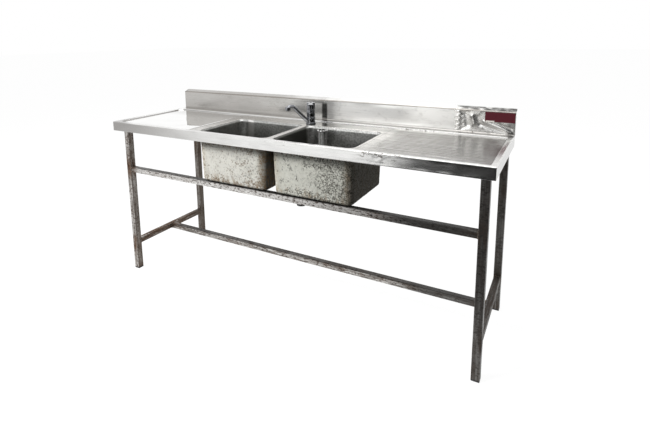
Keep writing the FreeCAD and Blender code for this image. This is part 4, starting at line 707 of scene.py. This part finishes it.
# %% Worktop sheet
COUNTS = (60, 250, 60, 250)
REAR_EDGE = SPLASH + SHEET
OUTSIDE = (LEFT, RIGHT, FRONT, REAR_EDGE)
RECESS = (LEFT + RIM, RIGHT - RIM, FRONT + RIM, SPLASH - REAR_RIM)
RECESS_RADII = (WIDE_CORNER, TIGHT_CORNER, TIGHT_CORNER, WIDE_CORNER)
FLOOR = DECK - STEP_DROP


def skirt():
    """Lip, apron and nosing along the left end, the front and the right end."""
    corners = [(LIP, DECK - APRON), (0, DECK - APRON), (0, DECK), (NOSING, DECK)]
    profile = divided(bent(corners, [0.002, NOSING]), 0.004)
    rings = []
    for inset, height in profile:
        radii = (max(NOSING - inset, TINY), max(NOSING - inset, TINY), TINY, TINY)
        x0, x1, y0, y1 = shrunk(OUTSIDE, inset)
        ring = outline((x0, x1, y0, REAR_EDGE), radii, COUNTS)
        rings.append(np.column_stack([ring, np.full(len(ring), height)]))
    open_end = COUNTS[0] + 8 + COUNTS[1] + 8 + COUNTS[2] + 1
    grid = np.stack(rings)[:, :open_end]
    x, height = grid[..., 0], grid[..., 2]
    face = eased(height, DECK - APRON, DECK - APRON + 0.012) * eased(height, DECK - 0.001, DECK - 0.012)
    ahead = grid[..., 1] < FRONT + 0.004
    knocks = 0.0005 * np.exp(-((x - 0.55) / 0.05) ** 2) * waves(grid, 0.022, 5)
    grid[..., 1] += face * ahead * (0.00035 * np.abs(waves(grid, 0.16, 4)) + np.abs(knocks))
    return grid


def rim_and_step():
    """The raised rim, drawn in to the recess, and the rounded step down to the floor."""
    outer = carried([(NOSING, DECK)], OUTSIDE, (NOSING, NOSING, TINY, TINY), COUNTS)[0]
    y = outer[:, 1]
    moved = y + NOSING * eased(y, SPLASH - 0.1, REAR_EDGE - NOSING)
    outer[:, 1] = np.where(y > REAR_EDGE - 0.02, moved, y)
    corners = [(-0.004, DECK), (0, DECK), (STEP_RUN, FLOOR), (STEP_RUN + 0.001, FLOOR)]
    step = bent(corners, [0.002, 0.0008], steps=4)
    rows = carried(step, RECESS, RECESS_RADII, COUNTS)
    return between(outer, rows[0], 6), rows


def sunk_floor(first):
    """The floor, from the foot of the step to the opening under the sink plate, with its faint waves."""
    opening = outline(shrunk(PLATE, PLATE_LAP), [PLATE_CORNER / 2] * 4, COUNTS)
    opening = np.column_stack([opening, np.full(len(opening), FLOOR)])
    grid = between(first, opening, 26)
    share = np.linspace(0, 1, 26)[:, None]
    grid[..., 2] += 0.0004 * np.sin(math.pi * share) * waves(grid, 0.24, 6)
    return grid


rim, step = rim_and_step()
make_piece("worktop_sheet", [(skirt(), False, 0), (rim, True, 0), (step, True, 0),
                             (sunk_floor(step[-1]), True, 1)],
           [EDGE, TOP], "frame", ["worktop"], wall=SHEET)

# %% [markdown]
# ## Splashback
# The same sheet turns up behind the worktop, leans back in a sloping return and ends in a hem. It has
# had knocks near its right end: a jagged upright ripple, a few scoops beside it and creases that run
# down to the corner. Each is a small formula: a crease is a ridge that fades with the distance from
# a line, and a scoop fades from a point. They are added up and push the face back or forward.

# %% Splashback


def crease(x, z, start, finish, width, depth):
    """A ridge along a line from start to finish: its height falls off with the squared distance."""
    start, finish = np.array(start), np.array(finish)
    way = finish - start
    along = np.clip(((x - start[0]) * way[0] + (z - start[1]) * way[1]) / (way @ way), 0, 1)
    far = np.hypot(x - start[0] - along * way[0], z - start[1] - along * way[1])
    return depth * np.exp(-(far / width) ** 2)


def knocks_of(x, z):
    """All the damage near the right end, as a push towards the front in metres."""
    jag = 0.0035 * np.sin(z * 2 * math.pi / 0.022) + 0.002 * np.sin(z * 2 * math.pi / 0.009)
    ripple = 0.0016 * np.exp(-((x - 0.752 - jag) / 0.009) ** 2)
    ripple = ripple - 0.0014 * np.exp(-((x - 0.766 - jag) / 0.010) ** 2)
    scoop = crease(x, z, (0.783, 0.985), (0.792, 0.925), 0.014, -0.0045)
    arcs = crease(x, z, (0.812, 0.965), (0.822, 0.930), 0.008, 0.0035)
    arcs += crease(x, z, (0.838, 0.962), (0.846, 0.935), 0.010, -0.0030)
    folds = crease(x, z, (0.866, 0.945), (0.985, 0.897), 0.0045, 0.0040)
    folds += crease(x, z, (0.850, 0.928), (0.965, 0.896), 0.0060, -0.0032)
    folds += crease(x, z, (0.905, 0.944), (0.990, 0.915), 0.0050, -0.0025)
    held = eased(x, RIGHT - 0.001, RIGHT - 0.02) * eased(z, DECK + 0.002, DECK + 0.012)
    held = held * eased(z, HEAD - 0.001, HEAD - 0.010)
    return (ripple + scoop + arcs + folds) * held * 0.6


def splash_grid():
    """The folded profile carried along the unit, then pushed by the waves and the knocks."""
    across = np.concatenate([np.linspace(LEFT, 0.66, 150), np.linspace(0.66, RIGHT, 170)[1:]])
    profile = divided(bent([(SPLASH - 0.004, DECK), (SPLASH, DECK), (SPLASH, HEAD), (CREST_Y, CREST),
                            (CREST_Y, CREST - HEM)], [0.004, 0.002, 0.0015]), 0.0028)
    y, z = profile.T
    grid = np.stack(np.broadcast_arrays(across[None, :], y[:, None], z[:, None]), -1).astype(float)
    face = eased(grid[..., 2], DECK + 0.001, DECK + 0.02) * (grid[..., 1] <= SPLASH + 1e-6)
    soft = 0.00045 * waves(grid, 0.30, 8) * face * eased(grid[..., 2], HEAD, HEAD - 0.02)
    grid[..., 1] -= np.where(face > 0, knocks_of(grid[..., 0], grid[..., 2]) + soft - 0.0004 * face, 0)
    slope = (grid[..., 1] > SPLASH + 0.003) * (grid[..., 1] < CREST_Y - 0.003)
    grid[..., 2] -= slope * 0.0006 * (1 + waves(grid, 0.06, 9)) * eased(grid[..., 0], 0.60, 0.78)
    return grid


def end_fold(column, reverse):
    """The strip folded back at one end, from the face's last column."""
    upright = column[column[:, 2] < HEAD - 0.002]
    shares = np.linspace(0, END_FOLD, 4)
    grid = upright[:, None, :] + np.stack([shares * 0, shares, shares * 0], -1)[None]
    return grid[:, ::-1] if reverse else grid


splash = splash_grid()
make_piece("splash_sheet", [(splash, False, 0), (end_fold(splash[:, 0], True), False, 0),
                            (end_fold(splash[:, -1], False), False, 0)],
           [SPLASH_STEEL], "frame", ["worktop"], wall=SHEET, sharp=50)

# %% [markdown]
# ## Sink plate and drainer
# The plate is one pressing: two mouths with rolled edges, and ribs that lead the water back. Round
# each mouth the grid runs from a straight cell edge to the rounded mouth; the drainer is a plain grid
# whose height is a sum of ribs, each a raised half wave across the unit that fades out at both ends.

# %% Sink plate
MOUTHS = {side: (low(side + "_bowl", 0) + FLANGE, high(side + "_bowl", 0) - FLANGE,
                 low(side + "_bowl", 1) + FLANGE, high(side + "_bowl", 1) - FLANGE)
          for side in ("left", "right")}
WEB = (MOUTHS["left"][1] + MOUTHS["right"][0]) / 2
DRAIN_START = MOUTHS["right"][1] + 0.017
RIBS = 17
RIB_HALF, RIB_HEIGHT, RIB_SIDE, RIB_END = 0.0065, 0.0014, 0.050, 0.038
CELL_COUNTS = (60, 60, 60, 60)


def mouth_cell(box, radii, mouth):
    """A cell of the plate with its mouth: rows from the cell's edge in, then over the rolled edge."""
    roll = bent([(-0.004, PLATE_TOP), (0, PLATE_TOP), (0, PLATE_TOP - 0.0036)], [0.0028], steps=6)
    edge = carried(roll, mouth, [MOUTH_CORNER] * 4, CELL_COUNTS)
    outer = outline(box, radii, CELL_COUNTS)
    outer = np.column_stack([outer, np.full(len(outer), PLATE_TOP)])
    return np.concatenate([between(outer, edge[0], 7), edge[1:]])


def drainer():
    """Drainer: height is the sum of the ribs, a slight fall to the bowl and faint waves."""
    turn = np.linspace(-3.0, math.pi / 2, 22)[6:]
    along = np.concatenate([np.linspace(DRAIN_START, 0.50, 16), np.linspace(0.50, 0.92, 50)[1:],
                            PLATE[1] - PLATE_CORNER * (1 - np.sin(turn)) * 0.5])
    along = np.unique(np.clip(along, DRAIN_START, PLATE[1]))
    past = np.maximum(along - PLATE[1] + PLATE_CORNER, 0)
    trim = PLATE_CORNER - np.sqrt(np.maximum(PLATE_CORNER ** 2 - past ** 2, 0))
    share = np.linspace(0, 1, 330)[:, None]
    y = (PLATE[2] + trim) * (1 - share) + (PLATE[3] - trim) * share
    x = np.broadcast_to(along, y.shape)
    first, last = PLATE[2] + RIB_SIDE, PLATE[3] - RIB_SIDE
    pitch = (last - first) / (RIBS - 1)
    off = np.abs(y - first - np.clip(np.round((y - first) / pitch), 0, RIBS - 1) * pitch)
    raised = RIB_HEIGHT * 0.5 * (1 + np.cos(math.pi * np.clip(off / RIB_HALF, 0, 1)))
    start, finish = MOUTHS["right"][1] + 0.049, PLATE[1] - RIB_END
    raised *= eased(x, start, MOUTHS["right"][1] + 0.062) * eased(x, finish, finish - 0.013)
    grid = np.stack([x, y, np.full(y.shape, PLATE_TOP)], -1)
    calm = eased(x, DRAIN_START, 0.52) * eased(x, PLATE[1], PLATE[1] - 0.03) * np.sin(math.pi * share)
    grid[..., 2] += raised + calm * (0.00008 * waves(grid, 0.20, 10) - 0.0003)
    return grid.transpose(1, 0, 2)[::-1]


near_box = (PLATE[0], WEB, PLATE[2], PLATE[3])
far_box = (WEB, DRAIN_START, PLATE[2], PLATE[3])
near_cell = mouth_cell(near_box, (PLATE_CORNER, TINY, TINY, PLATE_CORNER), MOUTHS["left"])
far_cell = mouth_cell(far_box, (TINY,) * 4, MOUTHS["right"])
make_piece("sink_sheet", [(near_cell, True, 0), (far_cell, True, 0), (drainer(), False, 0)],
           [PLATE_STEEL], "frame", ["sink_plate"], wall=SHEET * 0.9)

# %% [markdown]
# ## Bowls and their coating
# A pressed bowl has leaning walls, round upright corners and a soft bend to its floor, so its rows are
# the mouth's outline drawn in a little at each depth. The last rows run from that outline to the round
# hole of the waste. The coating outside follows the same rows, larger by the wall, and every point is
# pushed along its normal by two sizes of grit.

# %% Bowls
WASTE_HOLE = 0.0215


def bowl_rows(mouth, waste, rise, grow, floor, bend, step, counts, arc):
    """Rows from the mouth down the leaning wall, round the bend, over the floor to the waste hole."""
    depth = rise - floor
    foot = LEAN * depth - grow
    profile = bent([(-grow, rise), (foot, floor), (foot + 0.05, floor)], [bend], steps=7)
    rows = carried(divided(profile, step), mouth, [MOUTH_CORNER] * 4, counts, arc)
    angle = np.arctan2(rows[-1][:, 1] - waste[1], rows[-1][:, 0] - waste[0])
    hole = np.stack([waste[0] + WASTE_HOLE * np.cos(angle), waste[1] + WASTE_HOLE * np.sin(angle),
                     np.full(len(angle), floor)], 1)
    return np.concatenate([rows, between(rows[-1], hole, max(int(0.15 / step), 6))[1:]])


for side in ("left", "right"):
    hole = plan(side + "_waste_flange")
    inside = bowl_rows(MOUTHS[side], hole, PLATE_TOP - 0.0030, 0.0, BASIN, BEND, 0.012, (40, 44, 40, 44), 10)
    swell = (0.0004 * waves(inside, 0.11, 15))[..., None]
    below = eased(inside[..., 2], PLATE_TOP - 0.004, PLATE_TOP - 0.03)[..., None]
    inside += outwards(inside, True) * swell * below
    make_piece(side + "_bowl_shell", [(inside, True, 0)], [BOWL], "frame", [side + "_bowl"],
               wall=SHEET)

# %% Bowl coating


def grit(points):
    """Sprayed grit: two sizes of waves, with the lows flattened and the highs left as beads."""
    coarse, fine = waves(points, 0.012, 16), waves(points, 0.0055, 17, count=40)
    return 0.00030 * np.maximum(coarse, -0.6) + 0.00028 * np.maximum(fine, -0.5)


for side, finish in (("left", COAT_LEFT), ("right", COAT_RIGHT)):
    hole = plan(side + "_waste_flange")
    bottom = low(side + "_bowl_coat", 2)
    outside = bowl_rows(MOUTHS[side], hole, high(side + "_bowl_coat", 2), SHEET + 0.0020, bottom,
                        BEND + SHEET, 0.0042, (84, 96, 84, 96), 16)[::-1]
    push = grit(outside) * eased(outside[..., 2], DECK - 0.008, DECK - 0.02)
    outside += outwards(outside, True) * push[..., None]
    make_piece(side + "_bowl_grit", [(outside, True, 0)], [finish], "frame", [side + "_bowl_coat"],
               wall=0.0008, sharp=80)

# %% [markdown]
# ## Tap and standpipe
# Turned pieces are lathe work: a profile of radii and heights spun about the axis. The spout is a tube
# swept along a path with rounded bends; at each point of the path a circle stands square to it. The
# swivel ring, the tube and the nozzle turn together, so they are one piece on the spout's body.

# %% Tap
TAP = plan("tap_foot_ring")
SPOUT_WAY = math.radians(255)


def swept(path, radii, steps=28):
    """A tube along a path: each ring lies square to the path, its first direction level and sideways."""
    way = np.gradient(path, axis=0)
    way = way / np.linalg.norm(way, axis=1, keepdims=True)
    level = np.array([-math.sin(SPOUT_WAY), math.cos(SPOUT_WAY), 0.0])
    up = np.cross(way, level)
    angle = np.linspace(0, 2 * math.pi, steps, endpoint=False)
    ring = np.cos(angle)[None, :, None] * level + np.sin(angle)[None, :, None] * up[:, None, :]
    return path[:, None, :] + np.asarray(radii)[:, None, None] * ring


def spout_path(corners, bends, step):
    """Corners of reach and height beside the tap, turned to the spout's direction."""
    reach, height = divided(bent(corners, bends, steps=8), step).T
    return np.stack([TAP[0] + reach * math.cos(SPOUT_WAY), TAP[1] + reach * math.sin(SPOUT_WAY), height], 1)


ring_low, ring_high = high("tap_foot_ring", 2) + 0.0003, high("tap_foot_ring", 2) + 0.0283
body_top = low("tap_dome", 2)
hip = (ring_low + ring_high) / 2
crest, nozzle_mouth, reach = hip + 0.086, hip + 0.068, 0.165

foot_low, foot_high = low("tap_foot_ring", 2), high("tap_foot_ring", 2)
foot_profile = bent([(0.0175, foot_low), (0.026, foot_low), (0.026, foot_high), (0.0201, foot_high),
                     (0.0175, foot_high - 0.002)], [0.0004, 0.0022, 0.0004])
make_piece("tap_foot", [(lathe(foot_profile, *TAP), True, 0)], [CHROME], "frame", ["tap_foot_ring"])
shank_low, shelf = low("tap_body", 2), ring_high + 0.0003
column = bent([(0.0, shank_low), (0.016, shank_low), (0.016, foot_high), (0.020, foot_high),
               (0.020, shelf), (0.0225, shelf), (0.0225, body_top), (0.0, body_top)],
              [0.0006, 0.0004, 0.0004, 0.0004, 0.0008, 0.0018])
make_piece("tap_column", [(lathe(column, *TAP), True, 0)], [CHROME], "frame", ["tap_body"])

swivel = bent([(0.02005, ring_low), (0.024, ring_low), (0.024, ring_high), (0.02005, ring_high),
               (0.02005, ring_low)], [0.0012, 0.0012, 0.0001])
path = spout_path([(0.0208, hip), (0.033, hip), (0.132, crest), (reach, crest),
                   (reach, nozzle_mouth + 0.006)], [0.014, 0.016, 0.012], 0.006)
width = np.interp(np.linspace(0, 1, len(path)), [0, 0.15, 0.8, 1], [0.0110, 0.0106, 0.0096, 0.0100])
tube = swept(path, width)
start, finish = (np.repeat(end[:, None], tube.shape[1], 1) for end in (path[:1], path[-1:]))
tube = np.concatenate([start, tube, finish])
nozzle_at = (TAP[0] + reach * math.cos(SPOUT_WAY), TAP[1] + reach * math.sin(SPOUT_WAY))
nozzle = bent([(0.0112, nozzle_mouth + 0.004), (0.0112, nozzle_mouth), (0.0135, nozzle_mouth),
               (0.0135, nozzle_mouth + 0.020), (0.0, nozzle_mouth + 0.020)], [0.0004, 0.0006, 0.0050])
make_piece("tap_spout_tube", [(lathe(swivel, *TAP), True, 0), (tube, True, 0),
                              (lathe(nozzle, *nozzle_at, steps=48), True, 0)],
           [CHROME], "spout", ["tap_spout"])

# %% Standpipe
DRAIN = plan("standpipe")
pipe_low, pipe_high = low("standpipe", 2), high("standpipe", 2)
neck, pipe, lip, thin = 0.014, 0.023, 0.027, 0.0012
shoulder = high("standpipe_plug", 2)
cone = shoulder + pipe - neck
pipe_profile = bent([(neck - thin, pipe_low), (neck, pipe_low), (neck, shoulder), (pipe, cone),
                     (pipe, pipe_high - 0.005), (lip, pipe_high - 0.004), (lip - 0.001, pipe_high),
                     (pipe - thin, pipe_high), (pipe - thin, cone), (neck - thin, shoulder),
                     (neck - thin, pipe_low)],
                    [0.0004, 0.003, 0.004, 0.001, 0.0012, 0.0012, 0.0008, 0.003, 0.003])
make_piece("standpipe_tube", [(lathe(divided(pipe_profile, 0.03), *DRAIN), True, 0)], [PIPE_STEEL],
           "standpipe", ["standpipe"])

# %% [markdown]
# ## Welds
# The rails butt against the legs and are welded all round. A weld is a bead of overlapping drops, so
# it is a thin ring carried round the tube's square outline, its radius swelling and shrinking every
# few millimetres.

# %% Weld beads
BEAD, DROP = 0.0019, 0.0042


def bead(node, axis, at):
    """A bead round a square tube: a circle of changing radius carried round the rounded square."""
    sides = [other for other in range(3) if other != axis]
    box = (low(node, sides[0]), high(node, sides[0]), low(node, sides[1]), high(node, sides[1]))
    ring = outline(box, [0.0026] * 4, (14, 14, 14, 14), 5)
    gaps = np.linalg.norm(np.diff(ring, axis=0, append=ring[:1]), axis=1)
    along = np.cumsum(gaps)
    way = np.roll(ring, -1, 0) - np.roll(ring, 1, 0)
    out = np.stack([way[:, 1], -way[:, 0]], 1) / np.linalg.norm(way, axis=1, keepdims=True)
    size = 1 + 0.22 * np.sin(along * 2 * math.pi / DROP)
    size = BEAD * (size + 0.12 * np.sin(along * 2 * math.pi / 0.021 + at * 40))
    angle = np.linspace(0, 2 * math.pi, 9)[:, None]
    grid = np.zeros((9, len(ring), 3))
    grid[..., sides[0]] = ring[:, 0] + size * np.cos(angle) * out[:, 0]
    grid[..., sides[1]] = ring[:, 1] + size * np.cos(angle) * out[:, 1]
    grid[..., axis] = at + size * np.sin(angle)
    return grid[::-1] if axis == 1 else grid


WELDED = [("front_rail", 0), ("stretcher", 0), ("left_low_rail", 1), ("right_low_rail", 1)]
beads = [bead(rail, axis, end(rail, axis)) for rail, axis in WELDED for end in (low, high)]
make_piece("weld_beads", [(grid, True, 0) for grid in beads], [WELD], "frame", sharp=80)

# %% [markdown]
# ## The solids that stay
# Tubes, feet, nuts and drain pieces are already the right shape, so they keep their solids and only
# take a finish. The grain has to run along each tube, so the same finish exists for three directions.

# %% Finishes on the solids
DRESS = {
    "front_left_leg front_right_leg rear_left_leg rear_right_leg": UPRIGHT,
    "front_rail stretcher rear_top_rail": ACROSS,
    "left_low_rail right_low_rail left_top_rail right_top_rail": INWARD,
    "front_left_head_plate front_right_head_plate rear_left_leg_cap rear_right_leg_cap": UPRIGHT,
    "front_left_foot front_right_foot rear_left_foot rear_right_foot": BLACK,
    "left_back_nut right_back_nut left_drain_elbow right_drain_elbow drain_tee": BLACK,
    "deck_studs deck_nuts front_stiffener left_deck_stiffener drainer_stiffener tap_clamp_washer": ZINC,
    "left_waste_flange right_waste_flange left_strainer": POLISHED,
    "left_waste_seal right_waste_seal standpipe_plug tap_gasket": RUBBER,
    "tap_dome tap_lever": CHROME,
    "tap_back_nut tap_spindle lever_pin": BRASS,
    "left_tap_inlet right_tap_inlet": COPPER,
    "tap_cartridge tap_aerator": WHITE,
    "lever_index": INDEX,
    "label_plate": LABEL,
    "label_sticker": STICKER,
}
dressed = 0
for names, finish in DRESS.items():
    for name in names.split():
        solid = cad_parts[name]
        solid.data.materials.clear()
        solid.data.materials.append(finish)
        dressed += 1
print("solids dressed:", dressed)

# %% [markdown]
# ## Studio
# The unit stands on a white sweep under broad soft light. Bright metal shows its surroundings, so the
# surroundings are made like a photographer makes them: white all round, with dark cards before, behind
# and beside the unit and one bright card before its plain end, that only reflections see. The key lamp
# is kept out of the reflections. The floor glows a little under the shadow, which keeps it white and
# the shadow faint.

# %% Floor and cards


def facing(x0, x1, y, z0, z1):
    """Corners of an upright sheet that faces the front."""
    return [(x0, y, z0), (x1, y, z0), (x1, y, z1), (x0, y, z1)]


def flat_card(name, corners, finish, only_reflections):
    """A four-cornered stage sheet."""
    mesh = bpy.data.meshes.new(name)
    mesh.from_pydata(corners, [], [(0, 1, 2, 3)])
    mesh.materials.append(finish)
    card = bpy.data.objects.new(name, mesh)
    bpy.context.scene.collection.objects.link(card)
    if only_reflections:
        card.visible_camera = card.visible_diffuse = card.visible_shadow = card.visible_transmission = False
    return card


def floor_finish():
    """White floor: camera and reflections see its own glow with a faint diffuse share on top."""
    floor = Finish("floor_white", roughness=1.0)
    path = floor.tree.nodes.new("ShaderNodeLightPath")
    seen = Shade(floor, path.outputs["Is Camera Ray"]).most(Shade(floor, path.outputs["Is Glossy Ray"]))
    seen = seen.most(Shade(floor, path.outputs["Is Transmission Ray"]))
    glow = floor.add("ShaderNodeEmission", inputs={"Color": (1.0, 1.0, 1.0), "Strength": 0.945})
    matt = floor.add("ShaderNodeBsdfDiffuse", inputs={"Color": (0.14, 0.14, 0.14)})
    both = floor.add("ShaderNodeAddShader", inputs={0: glow, 1: matt})
    plain = floor.add("ShaderNodeBsdfDiffuse", inputs={"Color": (0.14, 0.14, 0.14)})
    mixed = floor.add("ShaderNodeMixShader", inputs={0: seen, 1: plain, 2: both})
    out = floor.tree.nodes["Material Output"]
    floor.tree.links.new(mixed.socket, out.inputs["Surface"])
    return floor.material


def card_finish(name, level):
    """A matt card of one even brightness."""
    card = Finish(name)
    glow = card.add("ShaderNodeEmission", inputs={"Color": (level, level, level), "Strength": 1.0})
    card.tree.links.new(glow.socket, card.tree.nodes["Material Output"].inputs["Surface"])
    return card.material


flat_card("floor", [(-40, -40, 0), (40, -40, 0), (40, 40, 0), (-40, 40, 0)], floor_finish(), False)
DARK = card_finish("card_dark", 0.03)
CARDS = {
    "card_floor": [(-0.38, -9.0, 0.004), (9.0, -9.0, 0.004), (9.0, -0.7, 0.004), (-0.38, -0.7, 0.004)],
    "card_front": facing(0.7, 8.0, -5.0, 0.0, 2.6),
    "card_back": facing(-1.2, 0.95, 1.8, 0.0, 0.42),
    "card_side": [(4.5, -4.0, 0.0), (4.5, 1.6, 0.0), (4.5, 1.6, 3.0), (4.5, -4.0, 3.0)],
}
for name, corners in CARDS.items():
    flat_card(name, corners, DARK, True)
flat_card("card_bright", facing(-1.9, 0.1, -4.0, 0.9, 2.4), card_finish("card_bright", 2.4), True)
print("stage ready")

# %% Light and surroundings


def surroundings():
    """World: white to camera and reflections; for soft light, brighter from the left and above."""
    world = bpy.data.worlds.new("studio")
    bpy.context.scene.world = world
    world.use_nodes = True
    sky = Finish("studio", tree=world.node_tree)
    path = sky.tree.nodes.new("ShaderNodeLightPath")
    seen = Shade(sky, path.outputs["Is Camera Ray"]).most(Shade(sky, path.outputs["Is Glossy Ray"]))
    seen = seen.most(Shade(sky, path.outputs["Is Transmission Ray"]))
    split = sky.add("ShaderNodeSeparateXYZ", inputs={0: sky.add("ShaderNodeTexCoord", output="Generated")})
    x, y, z = [Shade(sky, output) for output in split.socket.node.outputs]
    soft = 0.02 + x.eased(0.1, -0.9) * 0.55 + z.eased(0.1, 0.9) * 0.20
    back = sky.tree.nodes["Background"]
    sky.join((1.0, 1.0, 1.0), back.inputs["Color"])
    sky.join(seen + (1 - seen) * soft, back.inputs["Strength"])


def soft_lamp(name, place, aim, size, power):
    """A square soft box that faces the aim."""
    lamp = bpy.data.lights.new(name, "AREA")
    lamp.shape, lamp.size, lamp.energy = "SQUARE", size, power
    holder = bpy.data.objects.new(name, lamp)
    bpy.context.scene.collection.objects.link(holder)
    way = np.array(aim, float) - np.array(place, float)
    back = -unit(way)
    side = unit(np.cross((0, 0, 1), back))
    turn = Matrix(np.stack([side, np.cross(back, side), back], 1).tolist())
    holder.matrix_world = Matrix.Translation(place) @ turn.to_4x4()
    return holder


surroundings()
key = soft_lamp("key", (-1.7, -2.5, 3.4), (0, 0, 0.7), 1.5, 150)
key.visible_glossy = False
soft_lamp("top", (0.2, 0.2, 3.2), (0, 0, 0.8), 2.4, 40)
view = bpy.context.scene.view_settings
view.view_transform = "Standard"

# %% [markdown]
# ## Camera
# The camera stands where the photograph was taken from, found from the edges and corners of the unit
# in it. The yaw turns it from +Y towards -X, the pitch tips it down and the roll is the small tilt of
# the hand. The shift moves the frame without turning the camera, because the picture was cropped.

# %% Camera
PLACE = (1.1972, -1.9813, 1.3511)
YAW, PITCH, ROLL = math.radians(29.664), math.radians(9.835), math.radians(-0.766)
PICTURE = (650, 433)
FOCAL, CENTRE = 462.73, (307.485, 115.047)
ahead = np.array([-math.sin(YAW) * math.cos(PITCH), math.cos(YAW) * math.cos(PITCH), -math.sin(PITCH)])
flat = unit(np.cross(ahead, (0, 0, 1)))
raised = np.cross(flat, ahead)
right = math.cos(ROLL) * flat + math.sin(ROLL) * raised
up = -math.sin(ROLL) * flat + math.cos(ROLL) * raised
lens = bpy.data.cameras.new("camera")
lens.sensor_width, lens.lens = 36.0, FOCAL / PICTURE[0] * 36.0
lens.shift_x = (PICTURE[0] / 2 - CENTRE[0]) / PICTURE[0]
lens.shift_y = (CENTRE[1] - PICTURE[1] / 2) / PICTURE[0]
camera = bpy.data.objects.new("camera", lens)
bpy.context.scene.collection.objects.link(camera)
turn = Matrix(np.stack([right, up, -ahead], 1).tolist())
camera.matrix_world = Matrix.Translation(PLACE) @ turn.to_4x4()
bpy.context.scene.camera = camera
print("lens %.2f mm, shift %.4f, %.4f" % (lens.lens, lens.shift_x, lens.shift_y))
